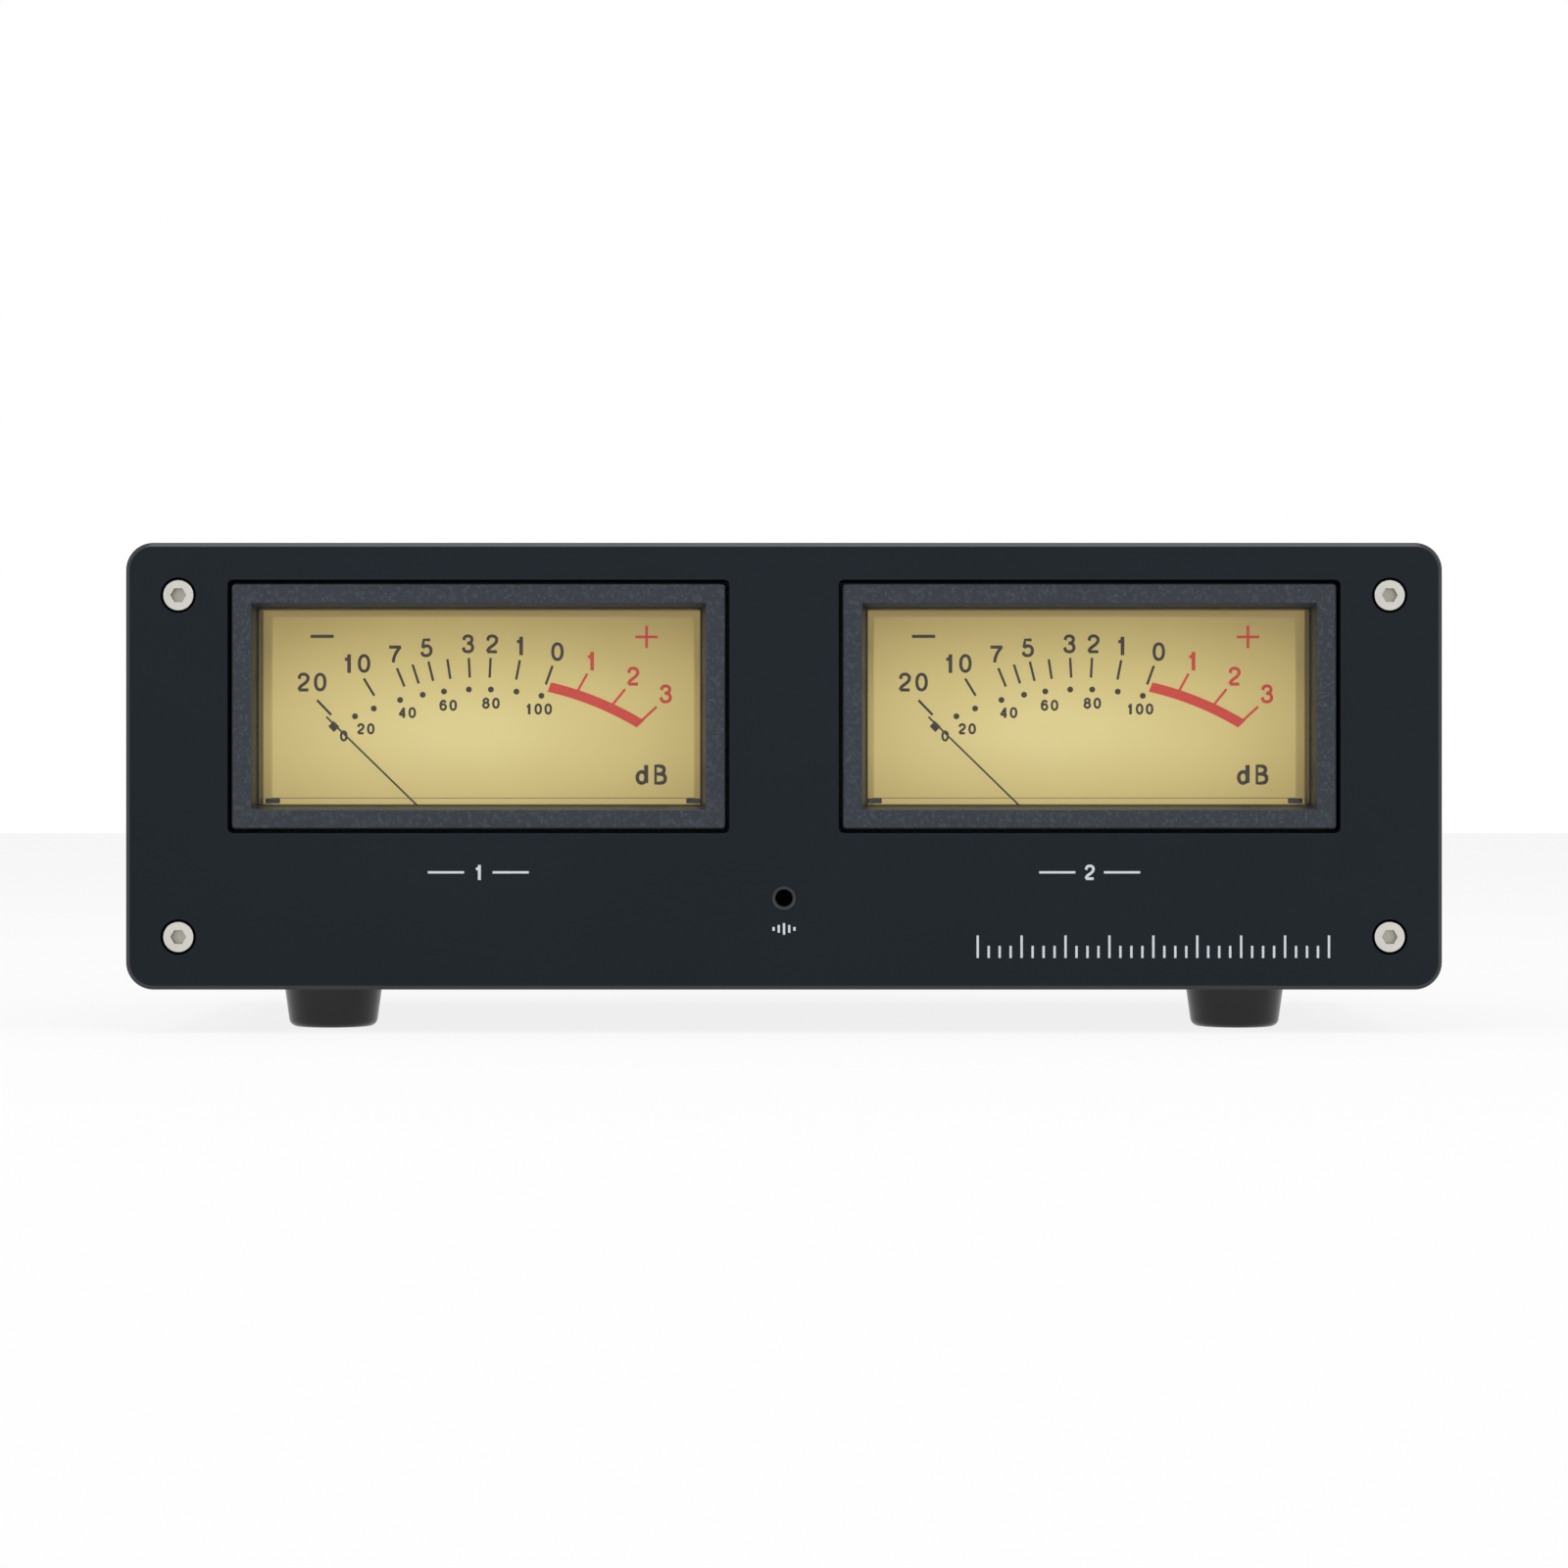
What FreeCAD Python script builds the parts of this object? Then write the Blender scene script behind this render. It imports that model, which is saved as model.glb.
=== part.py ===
import FreeCAD, Part
import math
import os
import Sketcher
from FreeCAD import Placement, Rotation, Vector

# Stereo level meter in a desktop enclosure.
# Millimetres. +Z is up, the front panel faces -Y, and +X is to the right of someone who looks at it.
# The origin is on the ground, under the middle of the whole object.

SIZES = {
    # front panel
    "panel_margin": 19.3,
    "panel_thickness": 8.0,
    "panel_corner": 5.0,
    "panel_chamfer": 0.75,
    "foot_drop": 8.0,
    # panel screws
    "screw_inset": 9.6,
    "screw_diameter": 3.0,
    "screw_head_diameter": 5.5,
    "screw_head_height": 3.0,
    "screw_reach": 14.0,
    "screw_recess": 0.15,
    "screw_head_gap": 0.5,
    "screw_hole_gap": 0.2,
    "thread_gap": 0.05,
    "hex_width": 2.5,
    "hex_depth": 1.6,
    # side rails, plates and rear panel
    "rail_length": 100.0,
    "rail_side_inset": 4.5,
    "rail_top_inset": 2.75,
    "rail_wall": 2.5,
    "rail_lip": 1.1,
    "rail_shelf": 1.5,
    "rail_reach": 7.5,
    "rail_edge_radius": 0.8,
    "rail_port_diameter": 6.4,
    "plate_thickness": 2.0,
    "plate_slot_gap": 0.1,
    "plate_side_gap": 0.3,
    "plate_end_gap": 0.1,
    "rear_thickness": 3.0,
    "rear_corner": 1.5,
    # feet
    "foot_side_inset": 35.2,
    "foot_back_inset": 28.0,
    "foot_front_depth": 25.0,
    "foot_back_depth": 91.0,
    "foot_top_diameter": 19.4,
    "foot_base_diameter": 16.2,
    "foot_edge": 1.3,
    "foot_bore_diameter": 8.0,
    "foot_floor": 4.5,
    "foot_screw_head_diameter": 5.6,
    "foot_screw_head_height": 2.2,
    "foot_screw_tail": 2.0,
    # microphone
    "mic_rise": 16.7,
    "mic_hole_diameter": 3.0,
    "mic_countersink": 4.3,
    "mic_capsule_diameter": 6.0,
    "mic_capsule_length": 5.0,
    "mic_web": 4.0,
    # meter windows and bezels
    "meter_gap": 21.4,
    "bezel_width": 90.0,
    "bezel_height": 44.7,
    "window_gap": 0.75,
    "window_corner": 1.0,
    "bezel_corner": 0.7,
    "bezel_recess": 0.2,
    "bezel_edge": 0.3,
    "frame_side": 3.5,
    "frame_rise": 3.45,
    "lip_depth": 2.2,
    "flange_thickness": 1.6,
    "flange_margin": 1.4,
    "flange_over": 0.5,
    "flange_top_gap": 0.3,
    "flange_floor_gap": 1.9,
    "bay_depth": 21.45,
    "seat_gap": 0.05,
    # clear cover
    "cover_side_inset": 1.15,
    "cover_rise_inset": 1.05,
    "cover_gap": 0.15,
    "cover_wall": 1.1,
    "cover_flange": 2.3,
    "cover_flange_thickness": 1.2,
    "cover_corner": 0.6,
    # dial and case
    "dial_depth": 12.5,
    "dial_thickness": 0.8,
    "dial_gap": 0.2,
    "case_margin": 0.6,
    "case_wall": 1.8,
    "case_step": 1.6,
    "case_depth": 38.0,
    "case_corner": 1.5,
    "light_box_step": 0.05,
    "partition": 1.0,
    "board_thickness": 1.2,
    "lamp_width": 5.0,
    "lamp_height": 2.8,
    "lamp_thickness": 0.9,
    "backlight_margin": 6.35,
    "backlight_height": 12.0,
    # meter mounting ears
    "ear_reach": 3.4,
    "ear_top_inset": 8.35,
    "ear_under": 3.65,
    "ear_radius": 2.7,
    "ear_thickness": 3.0,
    "meter_screw_diameter": 2.0,
    "meter_screw_head_diameter": 3.8,
    "meter_screw_head_height": 1.4,
    "meter_screw_bite": 4.5,
    "meter_screw_slot": 0.5,
    # movement
    "pivot_under": 7.65,
    "rest_angle": 45.7,
    "needle_depth": 11.45,
    "needle_thickness": 0.3,
    "needle_width": 0.34,
    "needle_length": 40.5,
    "needle_tail": 7.0,
    "weight_diameter": 3.0,
    "weight_length": 1.6,
    "hub_radius": 1.5,
    "staff_radius": 0.4,
    "collet_radius": 1.0,
    "collet_length": 0.8,
    "jewel_radius": 1.1,
    "jewel_gap": 0.06,
    "jewel_socket": 0.7,
    "pivot_end_gap": 0.1,
    "bridge_depth": 9.9,
    "bridge_thickness": 0.8,
    "bridge_height": 7.0,
    "pillar_side": 15.5,
    "pillar_radius": 1.5,
    "rear_bridge_depth": 30.0,
    "rear_bridge_thickness": 2.0,
    "rear_bridge_height": 9.0,
    "yoke_depth": 17.0,
    "yoke_length": 9.0,
    "yoke_radius": 10.8,
    "yoke_bore": 8.3,
    "core_radius": 6.1,
    "finger_half_width": 2.0,
    "finger_gap": 0.05,
    "coil_inner": 6.65,
    "coil_wire": 0.95,
    "coil_width": 3.2,
    "coil_end_gap": 0.6,
    "coil_corner": 1.2,
    "lever_gap": 0.06,
    "lever_thickness": 0.35,
    "lever_ring": 2.6,
    "lever_arm": 7.6,
    "lever_width": 1.6,
    "lever_fork": 10.4,
    "fork_slot": 0.9,
    "spring_depth": 13.6,
    "spring_back_depth": 28.3,
    "spring_width": 0.4,
    "spring_strip": 0.14,
    "spring_inner": 1.35,
    "spring_pitch": 0.9,
    "spring_tab_gap": 0.4,
    "tab_thickness": 0.5,
    # driver board
    "board_width": 120.0,
    "board_length": 46.0,
    "board_depth": 48.0,
    "board_inset": 5.0,
    "driver_thickness": 1.6,
    "standoff_height": 6.0,
    "standoff_width": 5.5,
    "board_screw_head": 5.0,
    "board_screw_head_height": 1.8,
    "board_screw_reach": 4.5,
    "capacitor_diameter": 8.0,
    "capacitor_height": 12.0,
    "capacitor_pitch": 11.0,
    "chip_width": 10.0,
    "chip_length": 6.4,
    "chip_height": 3.4,
    "chip_pitch": 18.0,
    # rear connectors and controls
    "control_rise": 2.0,
    "jack_side_inset": 34.0,
    "jack_pitch": 20.0,
    "jack_shell_diameter": 8.3,
    "jack_shell_length": 8.5,
    "jack_bore_diameter": 3.4,
    "jack_bore_depth": 8.0,
    "jack_flange_diameter": 12.0,
    "jack_flange_thickness": 2.0,
    "jack_barrel_diameter": 9.4,
    "jack_tail_length": 9.0,
    "jack_tail_diameter": 3.0,
    "hole_gap": 0.1,
    "inlet_side_inset": 36.0,
    "inlet_flange_diameter": 13.0,
    "inlet_flange_thickness": 2.2,
    "inlet_bore_diameter": 5.6,
    "inlet_bore_depth": 9.5,
    "inlet_pin_diameter": 2.1,
    "inlet_barrel_diameter": 7.8,
    "inlet_tail_length": 11.0,
    "switch_side": 52.0,
    "switch_bush_diameter": 6.0,
    "switch_bush_length": 5.6,
    "switch_bush_bore": 4.9,
    "switch_nut_width": 8.0,
    "switch_nut_thickness": 2.0,
    "switch_body_width": 7.0,
    "switch_body_height": 13.0,
    "switch_body_length": 9.0,
    "switch_tilt": 13.0,
    "lever_ball_diameter": 4.2,
    "lever_root_diameter": 2.0,
    "lever_tip_diameter": 3.0,
    "lever_length": 15.0,
    "lever_pin_diameter": 1.0,
    "lever_pin_length": 4.6,
    "lever_pivot_inset": 1.0,
    "pot_side": 8.0,
    "pot_bush_diameter": 7.0,
    "pot_bush_length": 6.0,
    "pot_nut_width": 10.0,
    "pot_nut_thickness": 2.0,
    "pot_body_diameter": 16.0,
    "pot_body_length": 9.0,
    "shaft_diameter": 6.0,
    "shaft_gap": 0.05,
    "shaft_length": 23.0,
    "shaft_flat": 1.5,
    "knob_diameter": 15.0,
    "knob_length": 15.0,
    "knob_gap": 1.0,
    "knob_skirt_depth": 7.5,
    "knob_skirt_bore": 13.0,
    "knob_edge": 0.8,
    "knob_flutes": 18.0,
    "knob_flute_width": 1.3,
    "knob_flute_depth": 0.6,
    "knob_pointer_width": 1.0,
    "knob_pointer_depth": 0.6,
    # wiring
    "lead_diameter": 1.8,
    "lead_edge": 3.0,
    "lead_rise": 14.0,
    "lead_turn": 24.0,
    "lead_top": 30.0,
    "lead_slack": 9.0,
    "lead_inset": 11.0,
    "mic_lead_run": 14.0,
    "mic_lead_side": 8.0,
    "mic_lead_lift": 6.0,
}

# Lengths and volumes closer than this are taken as equal
TINY = 1e-6

document = FreeCAD.newDocument("LevelMeter")
sheet = document.addObject("Spreadsheet::Sheet", "Sizes")
sheet.Label = "Sizes"
for row, (name, value) in enumerate(SIZES.items(), start=1):
    sheet.set(f"A{row}", name)
    sheet.set(f"B{row}", str(value))
    sheet.setAlias(f"B{row}", name)
document.recompute()


class Length:
    """A size that knows its number and the sheet formula that gives it."""

    def __init__(self, number, formula):
        self.number = number
        self.formula = formula

    def __add__(self, other):
        other = length(other)
        return Length(self.number + other.number, f"({self.formula} + {other.formula})")

    def __radd__(self, other):
        return length(other) + self

    def __sub__(self, other):
        other = length(other)
        return Length(self.number - other.number, f"({self.formula} - {other.formula})")

    def __rsub__(self, other):
        return length(other) - self

    def __mul__(self, other):
        other = length(other)
        return Length(self.number * other.number, f"({self.formula} * {other.formula})")

    def __rmul__(self, other):
        return length(other) * self

    def __truediv__(self, other):
        other = length(other)
        return Length(self.number / other.number, f"({self.formula} / {other.formula})")

    def __neg__(self):
        return 0 - self


def length(value):
    """The value itself if it is a Length, and otherwise the plain number as one."""
    if isinstance(value, Length):
        return value
    return Length(float(value), f"({float(value)})")


class Sheet:
    """Gives each cell of the sheet as a Length, by its alias."""

    def __getattr__(self, name):
        return Length(float(sheet.get(name)), f"Sizes.{name}")


size = Sheet()


def bind(thing, path, value):
    """Tie a property of an object to a sheet formula."""
    thing.setExpression(path, length(value).formula)


nodes = []


def new_body(label, place=(0, 0, 0), group=False):
    """An empty body at a place, which may hold several separate solids."""
    body = document.addObject("PartDesign::Body", label)
    body.Label = label
    body.AllowCompound = group
    for axis, value in zip("xyz", place):
        bind(body, f"Placement.Base.{axis}", value)
    nodes.append(body)
    return body


def plane_of(body, role):
    """One of the body's own origin planes."""
    for feature in body.Origin.OriginFeatures:
        if feature.Role == role:
            return feature
    raise ValueError(role)


def new_sketch(body, role, offset=0):
    """A sketch on an origin plane of the body, moved along the plane's normal."""
    drawing = body.newObject("Sketcher::SketchObject", "Sketch")
    drawing.AttachmentSupport = [(plane_of(body, role), "")]
    drawing.MapMode = "FlatFace"
    bind(drawing, "AttachmentOffset.Base.z", offset)
    return drawing


def fix(drawing, kind, first, second, value):
    """Hold a sketch point, or a radius, at a length."""
    value = length(value)
    if kind == "Radius":
        index = drawing.addConstraint(Sketcher.Constraint(kind, first, value.number))
    else:
        index = drawing.addConstraint(Sketcher.Constraint(kind, -1, 1, first, second, value.number))
    bind(drawing, f"Constraints[{index}]", value)


def draw_polygon(drawing, points):
    """A closed outline of straight edges through points given as pairs of lengths."""
    points = [(length(x), length(y)) for x, y in points]
    first = drawing.GeometryCount
    count = len(points)
    corners = [Vector(x.number, y.number, 0) for x, y in points]
    for i in range(count):
        drawing.addGeometry(Part.LineSegment(corners[i], corners[(i + 1) % count]), False)
    for i in range(count):
        here = first + i
        after = first + (i + 1) % count
        drawing.addConstraint(Sketcher.Constraint("Coincident", here, 2, after, 1))
    for i, (x, y) in enumerate(points):
        fix(drawing, "DistanceX", first + i, 1, x)
        fix(drawing, "DistanceY", first + i, 1, y)


def draw_circle(drawing, x, y, radius):
    """A circle by its centre and radius."""
    x, y, radius = length(x), length(y), length(radius)
    centre = Vector(x.number, y.number, 0)
    index = drawing.addGeometry(Part.Circle(centre, Vector(0, 0, 1), radius.number), False)
    fix(drawing, "DistanceX", index, 3, x)
    fix(drawing, "DistanceY", index, 3, y)
    fix(drawing, "Radius", index, 0, radius)


def draw_rectangle(drawing, left, right, low, high):
    """A rectangle with sharp corners."""
    draw_polygon(drawing, [(left, low), (right, low), (right, high), (left, high)])


def draw_rounded(drawing, left, right, low, high, radius):
    """A rectangle whose corners are arcs of one radius."""
    left, right, low, high = length(left), length(right), length(low), length(high)
    radius = length(radius)
    first = drawing.GeometryCount
    quarter = math.pi / 2
    corners = [(right - radius, low + radius, 3), (right - radius, high - radius, 0),
               (left + radius, high - radius, 1), (left + radius, low + radius, 2)]
    ends = []
    for x, y, turn in corners:
        centre = Vector(x.number, y.number, 0)
        circle = Part.Circle(centre, Vector(0, 0, 1), radius.number)
        arc = Part.ArcOfCircle(circle, turn * quarter, (turn + 1) * quarter)
        drawing.addGeometry(arc, False)
        ends.append((arc.StartPoint, arc.EndPoint))
    for i in range(4):
        start = ends[i][1]
        stop = ends[(i + 1) % 4][0]
        drawing.addGeometry(Part.LineSegment(start, stop), False)
    for i in range(4):
        arc = first + i
        line = first + 4 + i
        after = first + (i + 1) % 4
        drawing.addConstraint(Sketcher.Constraint("Tangent", arc, 2, line, 1))
        drawing.addConstraint(Sketcher.Constraint("Tangent", line, 2, after, 1))
    for i, (x, y, turn) in enumerate(corners):
        fix(drawing, "DistanceX", first + i, 3, x)
        fix(drawing, "DistanceY", first + i, 3, y)
        fix(drawing, "Radius", first + i, 0, radius)


def draw_hexagon(drawing, x, y, width):
    """A regular hexagon by its width across flats, with two corners level with its centre."""
    side = length(width) / math.sqrt(3)
    half = length(width) / 2
    x, y = length(x), length(y)
    draw_polygon(drawing, [(x + side, y), (x + side / 2, y + half), (x - side / 2, y + half),
                           (x - side, y), (x - side / 2, y - half), (x + side / 2, y - half)])


def check_volume(body, before, grows):
    """Stop if a feature left its body as it was."""
    document.recompute()
    after = body.Shape.Volume
    if grows and after <= before + TINY:
        raise ValueError(f"{body.Label}: a pad added nothing")
    if not grows and after >= before - TINY:
        raise ValueError(f"{body.Label}: a cut removed nothing")


def pad(body, drawing, thickness, backward=False, both_ways=False):
    """Raise a sketch into a solid. Backward means against the sketch plane's normal."""
    before = body.Shape.Volume if body.Tip else 0
    feature = body.newObject("PartDesign::Pad", "Pad")
    feature.Profile = drawing
    feature.Reversed = backward
    feature.Midplane = both_ways
    bind(feature, "Length", thickness)
    drawing.Visibility = False
    check_volume(body, before, True)
    return feature


def pocket(body, drawing, thickness, forward=False, both_ways=False):
    """Cut a sketch into the solid. Forward means along the sketch plane's normal."""
    before = body.Shape.Volume
    feature = body.newObject("PartDesign::Pocket", "Pocket")
    feature.Profile = drawing
    feature.Reversed = forward
    feature.Midplane = both_ways
    bind(feature, "Length", thickness)
    check_volume(body, before, False)
    return feature


def layer(body, near, far, draw, *shape):
    """Add a layer of the body between two depths behind the front, with a drawn outline."""
    drawing = new_sketch(body, "XZ_Plane", -length(near))
    draw(drawing, *shape)
    return pad(body, drawing, length(far) - near, backward=True)


def hollow(body, near, far, draw, *shape):
    """Cut a drawn outline out of the body between two depths behind the front."""
    drawing = new_sketch(body, "XZ_Plane", -length(near))
    draw(drawing, *shape)
    return pocket(body, drawing, length(far) - near)


def draw_circles(drawing, centres, radius):
    """The same circle at several centres."""
    for x, y in centres:
        draw_circle(drawing, x, y, radius)


def draw_hexagons(drawing, centres, width):
    """The same hexagon at several centres."""
    for x, y in centres:
        draw_hexagon(drawing, x, y, width)


def revolve(body, role, points):
    """Turn an outline of radius and place round the sketch's upright axis."""
    drawing = new_sketch(body, role)
    draw_polygon(drawing, points)
    before = body.Shape.Volume if body.Tip else 0
    feature = body.newObject("PartDesign::Revolution", "Revolution")
    feature.Profile = drawing
    feature.ReferenceAxis = (drawing, ["V_Axis"])
    feature.Angle = 360
    check_volume(body, before, True)
    return feature


def edges_where(feature, test):
    """Names of a feature's edges whose end points all pass a test."""
    document.recompute()
    names = []
    for i, edge in enumerate(feature.Shape.Edges, start=1):
        if all(test(vertex.Point) for vertex in edge.Vertexes):
            names.append(f"Edge{i}")
    return names


def soften(body, feature, kind, amount, test):
    """Put a fillet or a chamfer on the edges whose end points all pass a test."""
    names = edges_where(feature, test)
    before = body.Shape.Volume
    rounding = body.newObject(f"PartDesign::{kind}", kind)
    rounding.Base = (feature, names)
    bind(rounding, "Radius" if kind == "Fillet" else "Size", amount)
    check_volume(body, before, False)
    return rounding


# Places shared by several pieces
knob_reach = size.knob_gap + size.knob_length + size.pot_nut_thickness
rear_face = size.panel_thickness + size.rail_length + size.rear_thickness
rear_inside = size.panel_thickness + size.rail_length
half_depth = (rear_face + knob_reach) / 2
front = -half_depth
meter_side = (size.bezel_width + size.meter_gap) / 2
half_width = meter_side + size.bezel_width / 2 + size.panel_margin
plate_stack = size.rail_top_inset + size.rail_lip + size.plate_thickness + size.plate_slot_gap
margin_above = plate_stack + size.flange_top_gap + size.flange_over + size.window_gap
margin_below = plate_stack + size.flange_floor_gap + size.bay_depth
panel_height = size.bezel_height + margin_above + margin_below
panel_middle = size.foot_drop + panel_height / 2
mic_drop = panel_height / 2 - size.mic_rise
rail_outside = half_width - size.rail_side_inset
rail_top = panel_height / 2 - size.rail_top_inset
screw_side = half_width - size.screw_inset
screw_rise = panel_height / 2 - size.screw_inset
slot_height = size.plate_thickness + size.plate_slot_gap
foot_height = size.foot_drop + size.rail_top_inset + size.rail_lip
plate_floor = foot_height + size.plate_thickness
screw_places = [(x, z) for x in (-screw_side, screw_side) for z in (-screw_rise, screw_rise)]
meter_rise = (margin_below - margin_above) / 2
meter_height = panel_middle + meter_rise
pivot_height = meter_height - size.bezel_height / 2 - size.pivot_under
opening_width = size.bezel_width - 2 * size.frame_side
opening_height = size.bezel_height - 2 * size.frame_rise
cover_width = opening_width - 2 * size.cover_side_inset
cover_height = opening_height - 2 * size.cover_rise_inset
window_half_width = size.bezel_width / 2 + size.window_gap
window_half_height = size.bezel_height / 2 + size.window_gap
flange_depth = size.panel_thickness + size.seat_gap
flange_back = flange_depth + size.flange_thickness
flange_top = window_half_height + size.flange_over
flange_bottom = size.bezel_height / 2 + size.bay_depth
flange_half_width = window_half_width + size.flange_margin
ear_side = size.bezel_width / 2 + size.ear_reach
ear_high = size.bezel_height / 2 - size.ear_top_inset
ear_low = size.bezel_height / 2 + size.ear_under
ear_places = [(x, z) for x in (-ear_side, ear_side) for z in (ear_high, -ear_low)]
dial_back = size.dial_depth + size.dial_thickness
cover_back = flange_back + size.seat_gap + size.cover_flange_thickness


def cap_screws(label, place, spots, head_depth, direction, sizes):
    """Socket head screws with their heads' bearing faces at one depth, as separate solids."""
    diameter, head_diameter, head_height, reach, hex_width, hex_depth = sizes
    body = new_body(label, place, group=True)
    face = head_depth - direction * head_height
    for start, end, radius in ((face, head_depth, head_diameter / 2),
                               (head_depth, head_depth + direction * reach, diameter / 2)):
        near, far = (start, end) if direction > 0 else (end, start)
        layer(body, near, far, draw_circles, spots, radius)
    inner = face + direction * hex_depth
    near, far = (face, inner) if direction > 0 else (inner, face)
    hollow(body, near, far, draw_hexagons, spots, hex_width)
    return body


def front_panel():
    """The thick front plate with its windows, screw holes and microphone hole."""
    body = new_body("front_panel", (0, front, panel_middle))
    half_height = panel_height / 2
    plate = layer(body, 0, size.panel_thickness, draw_rounded,
                  -half_width, half_width, -half_height, half_height, size.panel_corner)
    soften(body, plate, "Chamfer", size.panel_chamfer, lambda point: abs(point.y) < TINY)
    for side in (-1, 1):
        centre = side * meter_side
        hollow(body, 0, size.panel_thickness, draw_rounded,
               centre - window_half_width, centre + window_half_width,
               meter_rise - window_half_height, meter_rise + window_half_height,
               size.window_corner)
        ears = [(centre + x, meter_rise + z) for x, z in ear_places]
        bite = size.meter_screw_bite + size.screw_hole_gap
        hollow(body, size.panel_thickness - bite, size.panel_thickness, draw_circles, ears,
               size.meter_screw_diameter / 2 + size.thread_gap)
    hollow(body, 0, size.screw_recess + size.screw_head_height, draw_circles, screw_places,
           size.screw_head_diameter / 2 + size.screw_head_gap)
    hollow(body, 0, size.panel_thickness, draw_circles, screw_places,
           size.screw_diameter / 2 + size.screw_hole_gap)
    mic_spot = [(0, -mic_drop)]
    hollow(body, 0, size.panel_thickness, draw_circles, mic_spot, size.mic_hole_diameter / 2)
    recess = hollow(body, size.mic_web, size.panel_thickness, draw_circles, mic_spot,
                    size.mic_capsule_diameter / 2 + size.hole_gap)
    mouth = size.mic_countersink.number
    centre = Vector(0, 0, -mic_drop.number)
    soften(body, recess, "Chamfer", (size.mic_countersink - size.mic_hole_diameter) / 2,
           lambda point: (point - centre).Length < mouth and abs(point.y) < TINY)


jack_side = half_width - size.jack_side_inset
inlet_side = half_width - size.inlet_side_inset


def rear_panel():
    """The plate that closes the back, with holes for the jacks and controls."""
    body = new_body("rear_panel", (0, front, panel_middle))
    back = rear_face
    plate = layer(body, rear_inside, back, draw_rounded, -rail_outside, rail_outside,
                  -rail_top, rail_top, size.rear_corner)
    hollow(body, rear_inside, back, draw_circles, screw_places,
           size.screw_diameter / 2 + size.screw_hole_gap)
    rise = size.control_rise
    jacks = [(-jack_side, rise), (-jack_side + size.jack_pitch, rise)]
    hollow(body, rear_inside, back, draw_circles, jacks, size.jack_barrel_diameter / 2 + size.hole_gap)
    hollow(body, rear_inside, back, draw_circles, [(inlet_side, rise)],
           size.inlet_barrel_diameter / 2 + size.hole_gap)
    hollow(body, rear_inside, back, draw_circles, [(size.switch_side, rise)],
           size.switch_bush_diameter / 2 + size.hole_gap)
    hollow(body, rear_inside, back, draw_circles, [(-size.pot_side, rise)],
           size.pot_bush_diameter / 2 + size.hole_gap)


def side_rail(side_name, side):
    """An extrusion with slots for the top and bottom plates and two screw ports."""
    body = new_body(f"{side_name}_side_rail", (side * rail_outside, front, panel_middle))
    wall = -side * size.rail_wall
    reach = -side * size.rail_reach
    lip = rail_top - size.rail_lip
    slot = lip - slot_height
    shelf = slot - size.rail_shelf
    outline = [(0, -rail_top), (reach, -rail_top), (reach, -lip), (wall, -lip), (wall, -slot),
               (reach, -slot), (reach, -shelf), (wall, -shelf), (wall, shelf), (reach, shelf),
               (reach, slot), (wall, slot), (wall, lip), (reach, lip), (reach, rail_top), (0, rail_top)]
    start, end = size.panel_thickness, rear_inside
    rail = layer(body, start, end, draw_polygon, outline)
    port_side = side * (screw_side - rail_outside)
    ports = [(port_side, -screw_rise), (port_side, screw_rise)]
    soften(body, rail, "Fillet", size.rail_edge_radius,
           lambda point: abs(point.x) < TINY)
    layer(body, start, end, draw_circles, ports, size.rail_port_diameter / 2)
    hollow(body, start, end, draw_circles, ports, size.screw_diameter / 2 + size.thread_gap)
    return body


def cover_plate(label, level):
    """A sheet that slides into the rails' slots, resting on the slot's lower face."""
    reach = rail_outside - size.rail_wall - size.plate_side_gap
    body = new_body(label, (0, front, level))
    layer(body, size.panel_thickness + size.plate_end_gap, rear_inside - size.plate_end_gap,
          draw_rectangle, -reach, reach, 0, size.plate_thickness)
    return body


def drill_down(body, spots, radius, thickness):
    """Round holes through a flat plate, at places given as side and depth."""
    drawing = new_sketch(body, "XY_Plane")
    draw_circles(drawing, spots, radius)
    pocket(body, drawing, thickness, forward=True)


foot_side = half_width - size.foot_side_inset
foot_back_side = half_width - size.foot_back_inset
foot_places = {
    "front_left": (-foot_side, size.foot_front_depth),
    "front_right": (foot_side, size.foot_front_depth),
    "rear_left": (-foot_back_side, size.foot_back_depth),
    "rear_right": (foot_back_side, size.foot_back_depth),
}
board_middle = size.board_depth + size.board_length / 2
board_spot_side = size.board_width / 2 - size.board_inset
board_spot_reach = size.board_length / 2 - size.board_inset
board_spots = [(x, board_middle + y) for x in (-board_spot_side, board_spot_side)
               for y in (-board_spot_reach, board_spot_reach)]


def enclosure():
    """Panels, rails, plates and the screws that hold them."""
    front_panel()
    rear_panel()
    side_rail("left", -1)
    side_rail("right", 1)
    top_level = panel_middle + rail_top - size.rail_lip - slot_height
    cover_plate("top_plate", top_level)
    bottom = cover_plate("bottom_plate", foot_height)
    drill_down(bottom, foot_places.values(), size.screw_diameter / 2 + size.thread_gap,
               size.plate_thickness)
    drill_down(bottom, board_spots, size.screw_diameter / 2 + size.thread_gap, size.plate_thickness)
    sizes = (size.screw_diameter, size.screw_head_diameter, size.screw_head_height,
             size.screw_reach, size.hex_width, size.hex_depth)
    place = (0, front, panel_middle)
    cap_screws("front_panel_screws", place, screw_places,
               size.screw_recess + size.screw_head_height, 1, sizes)
    cap_screws("rear_panel_screws", place, screw_places, rear_face, -1, sizes)


# Turns of the rounded edge at which its outline has a corner
FOOT_EDGE_STEPS = (0, 30, 60, 90)


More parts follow.
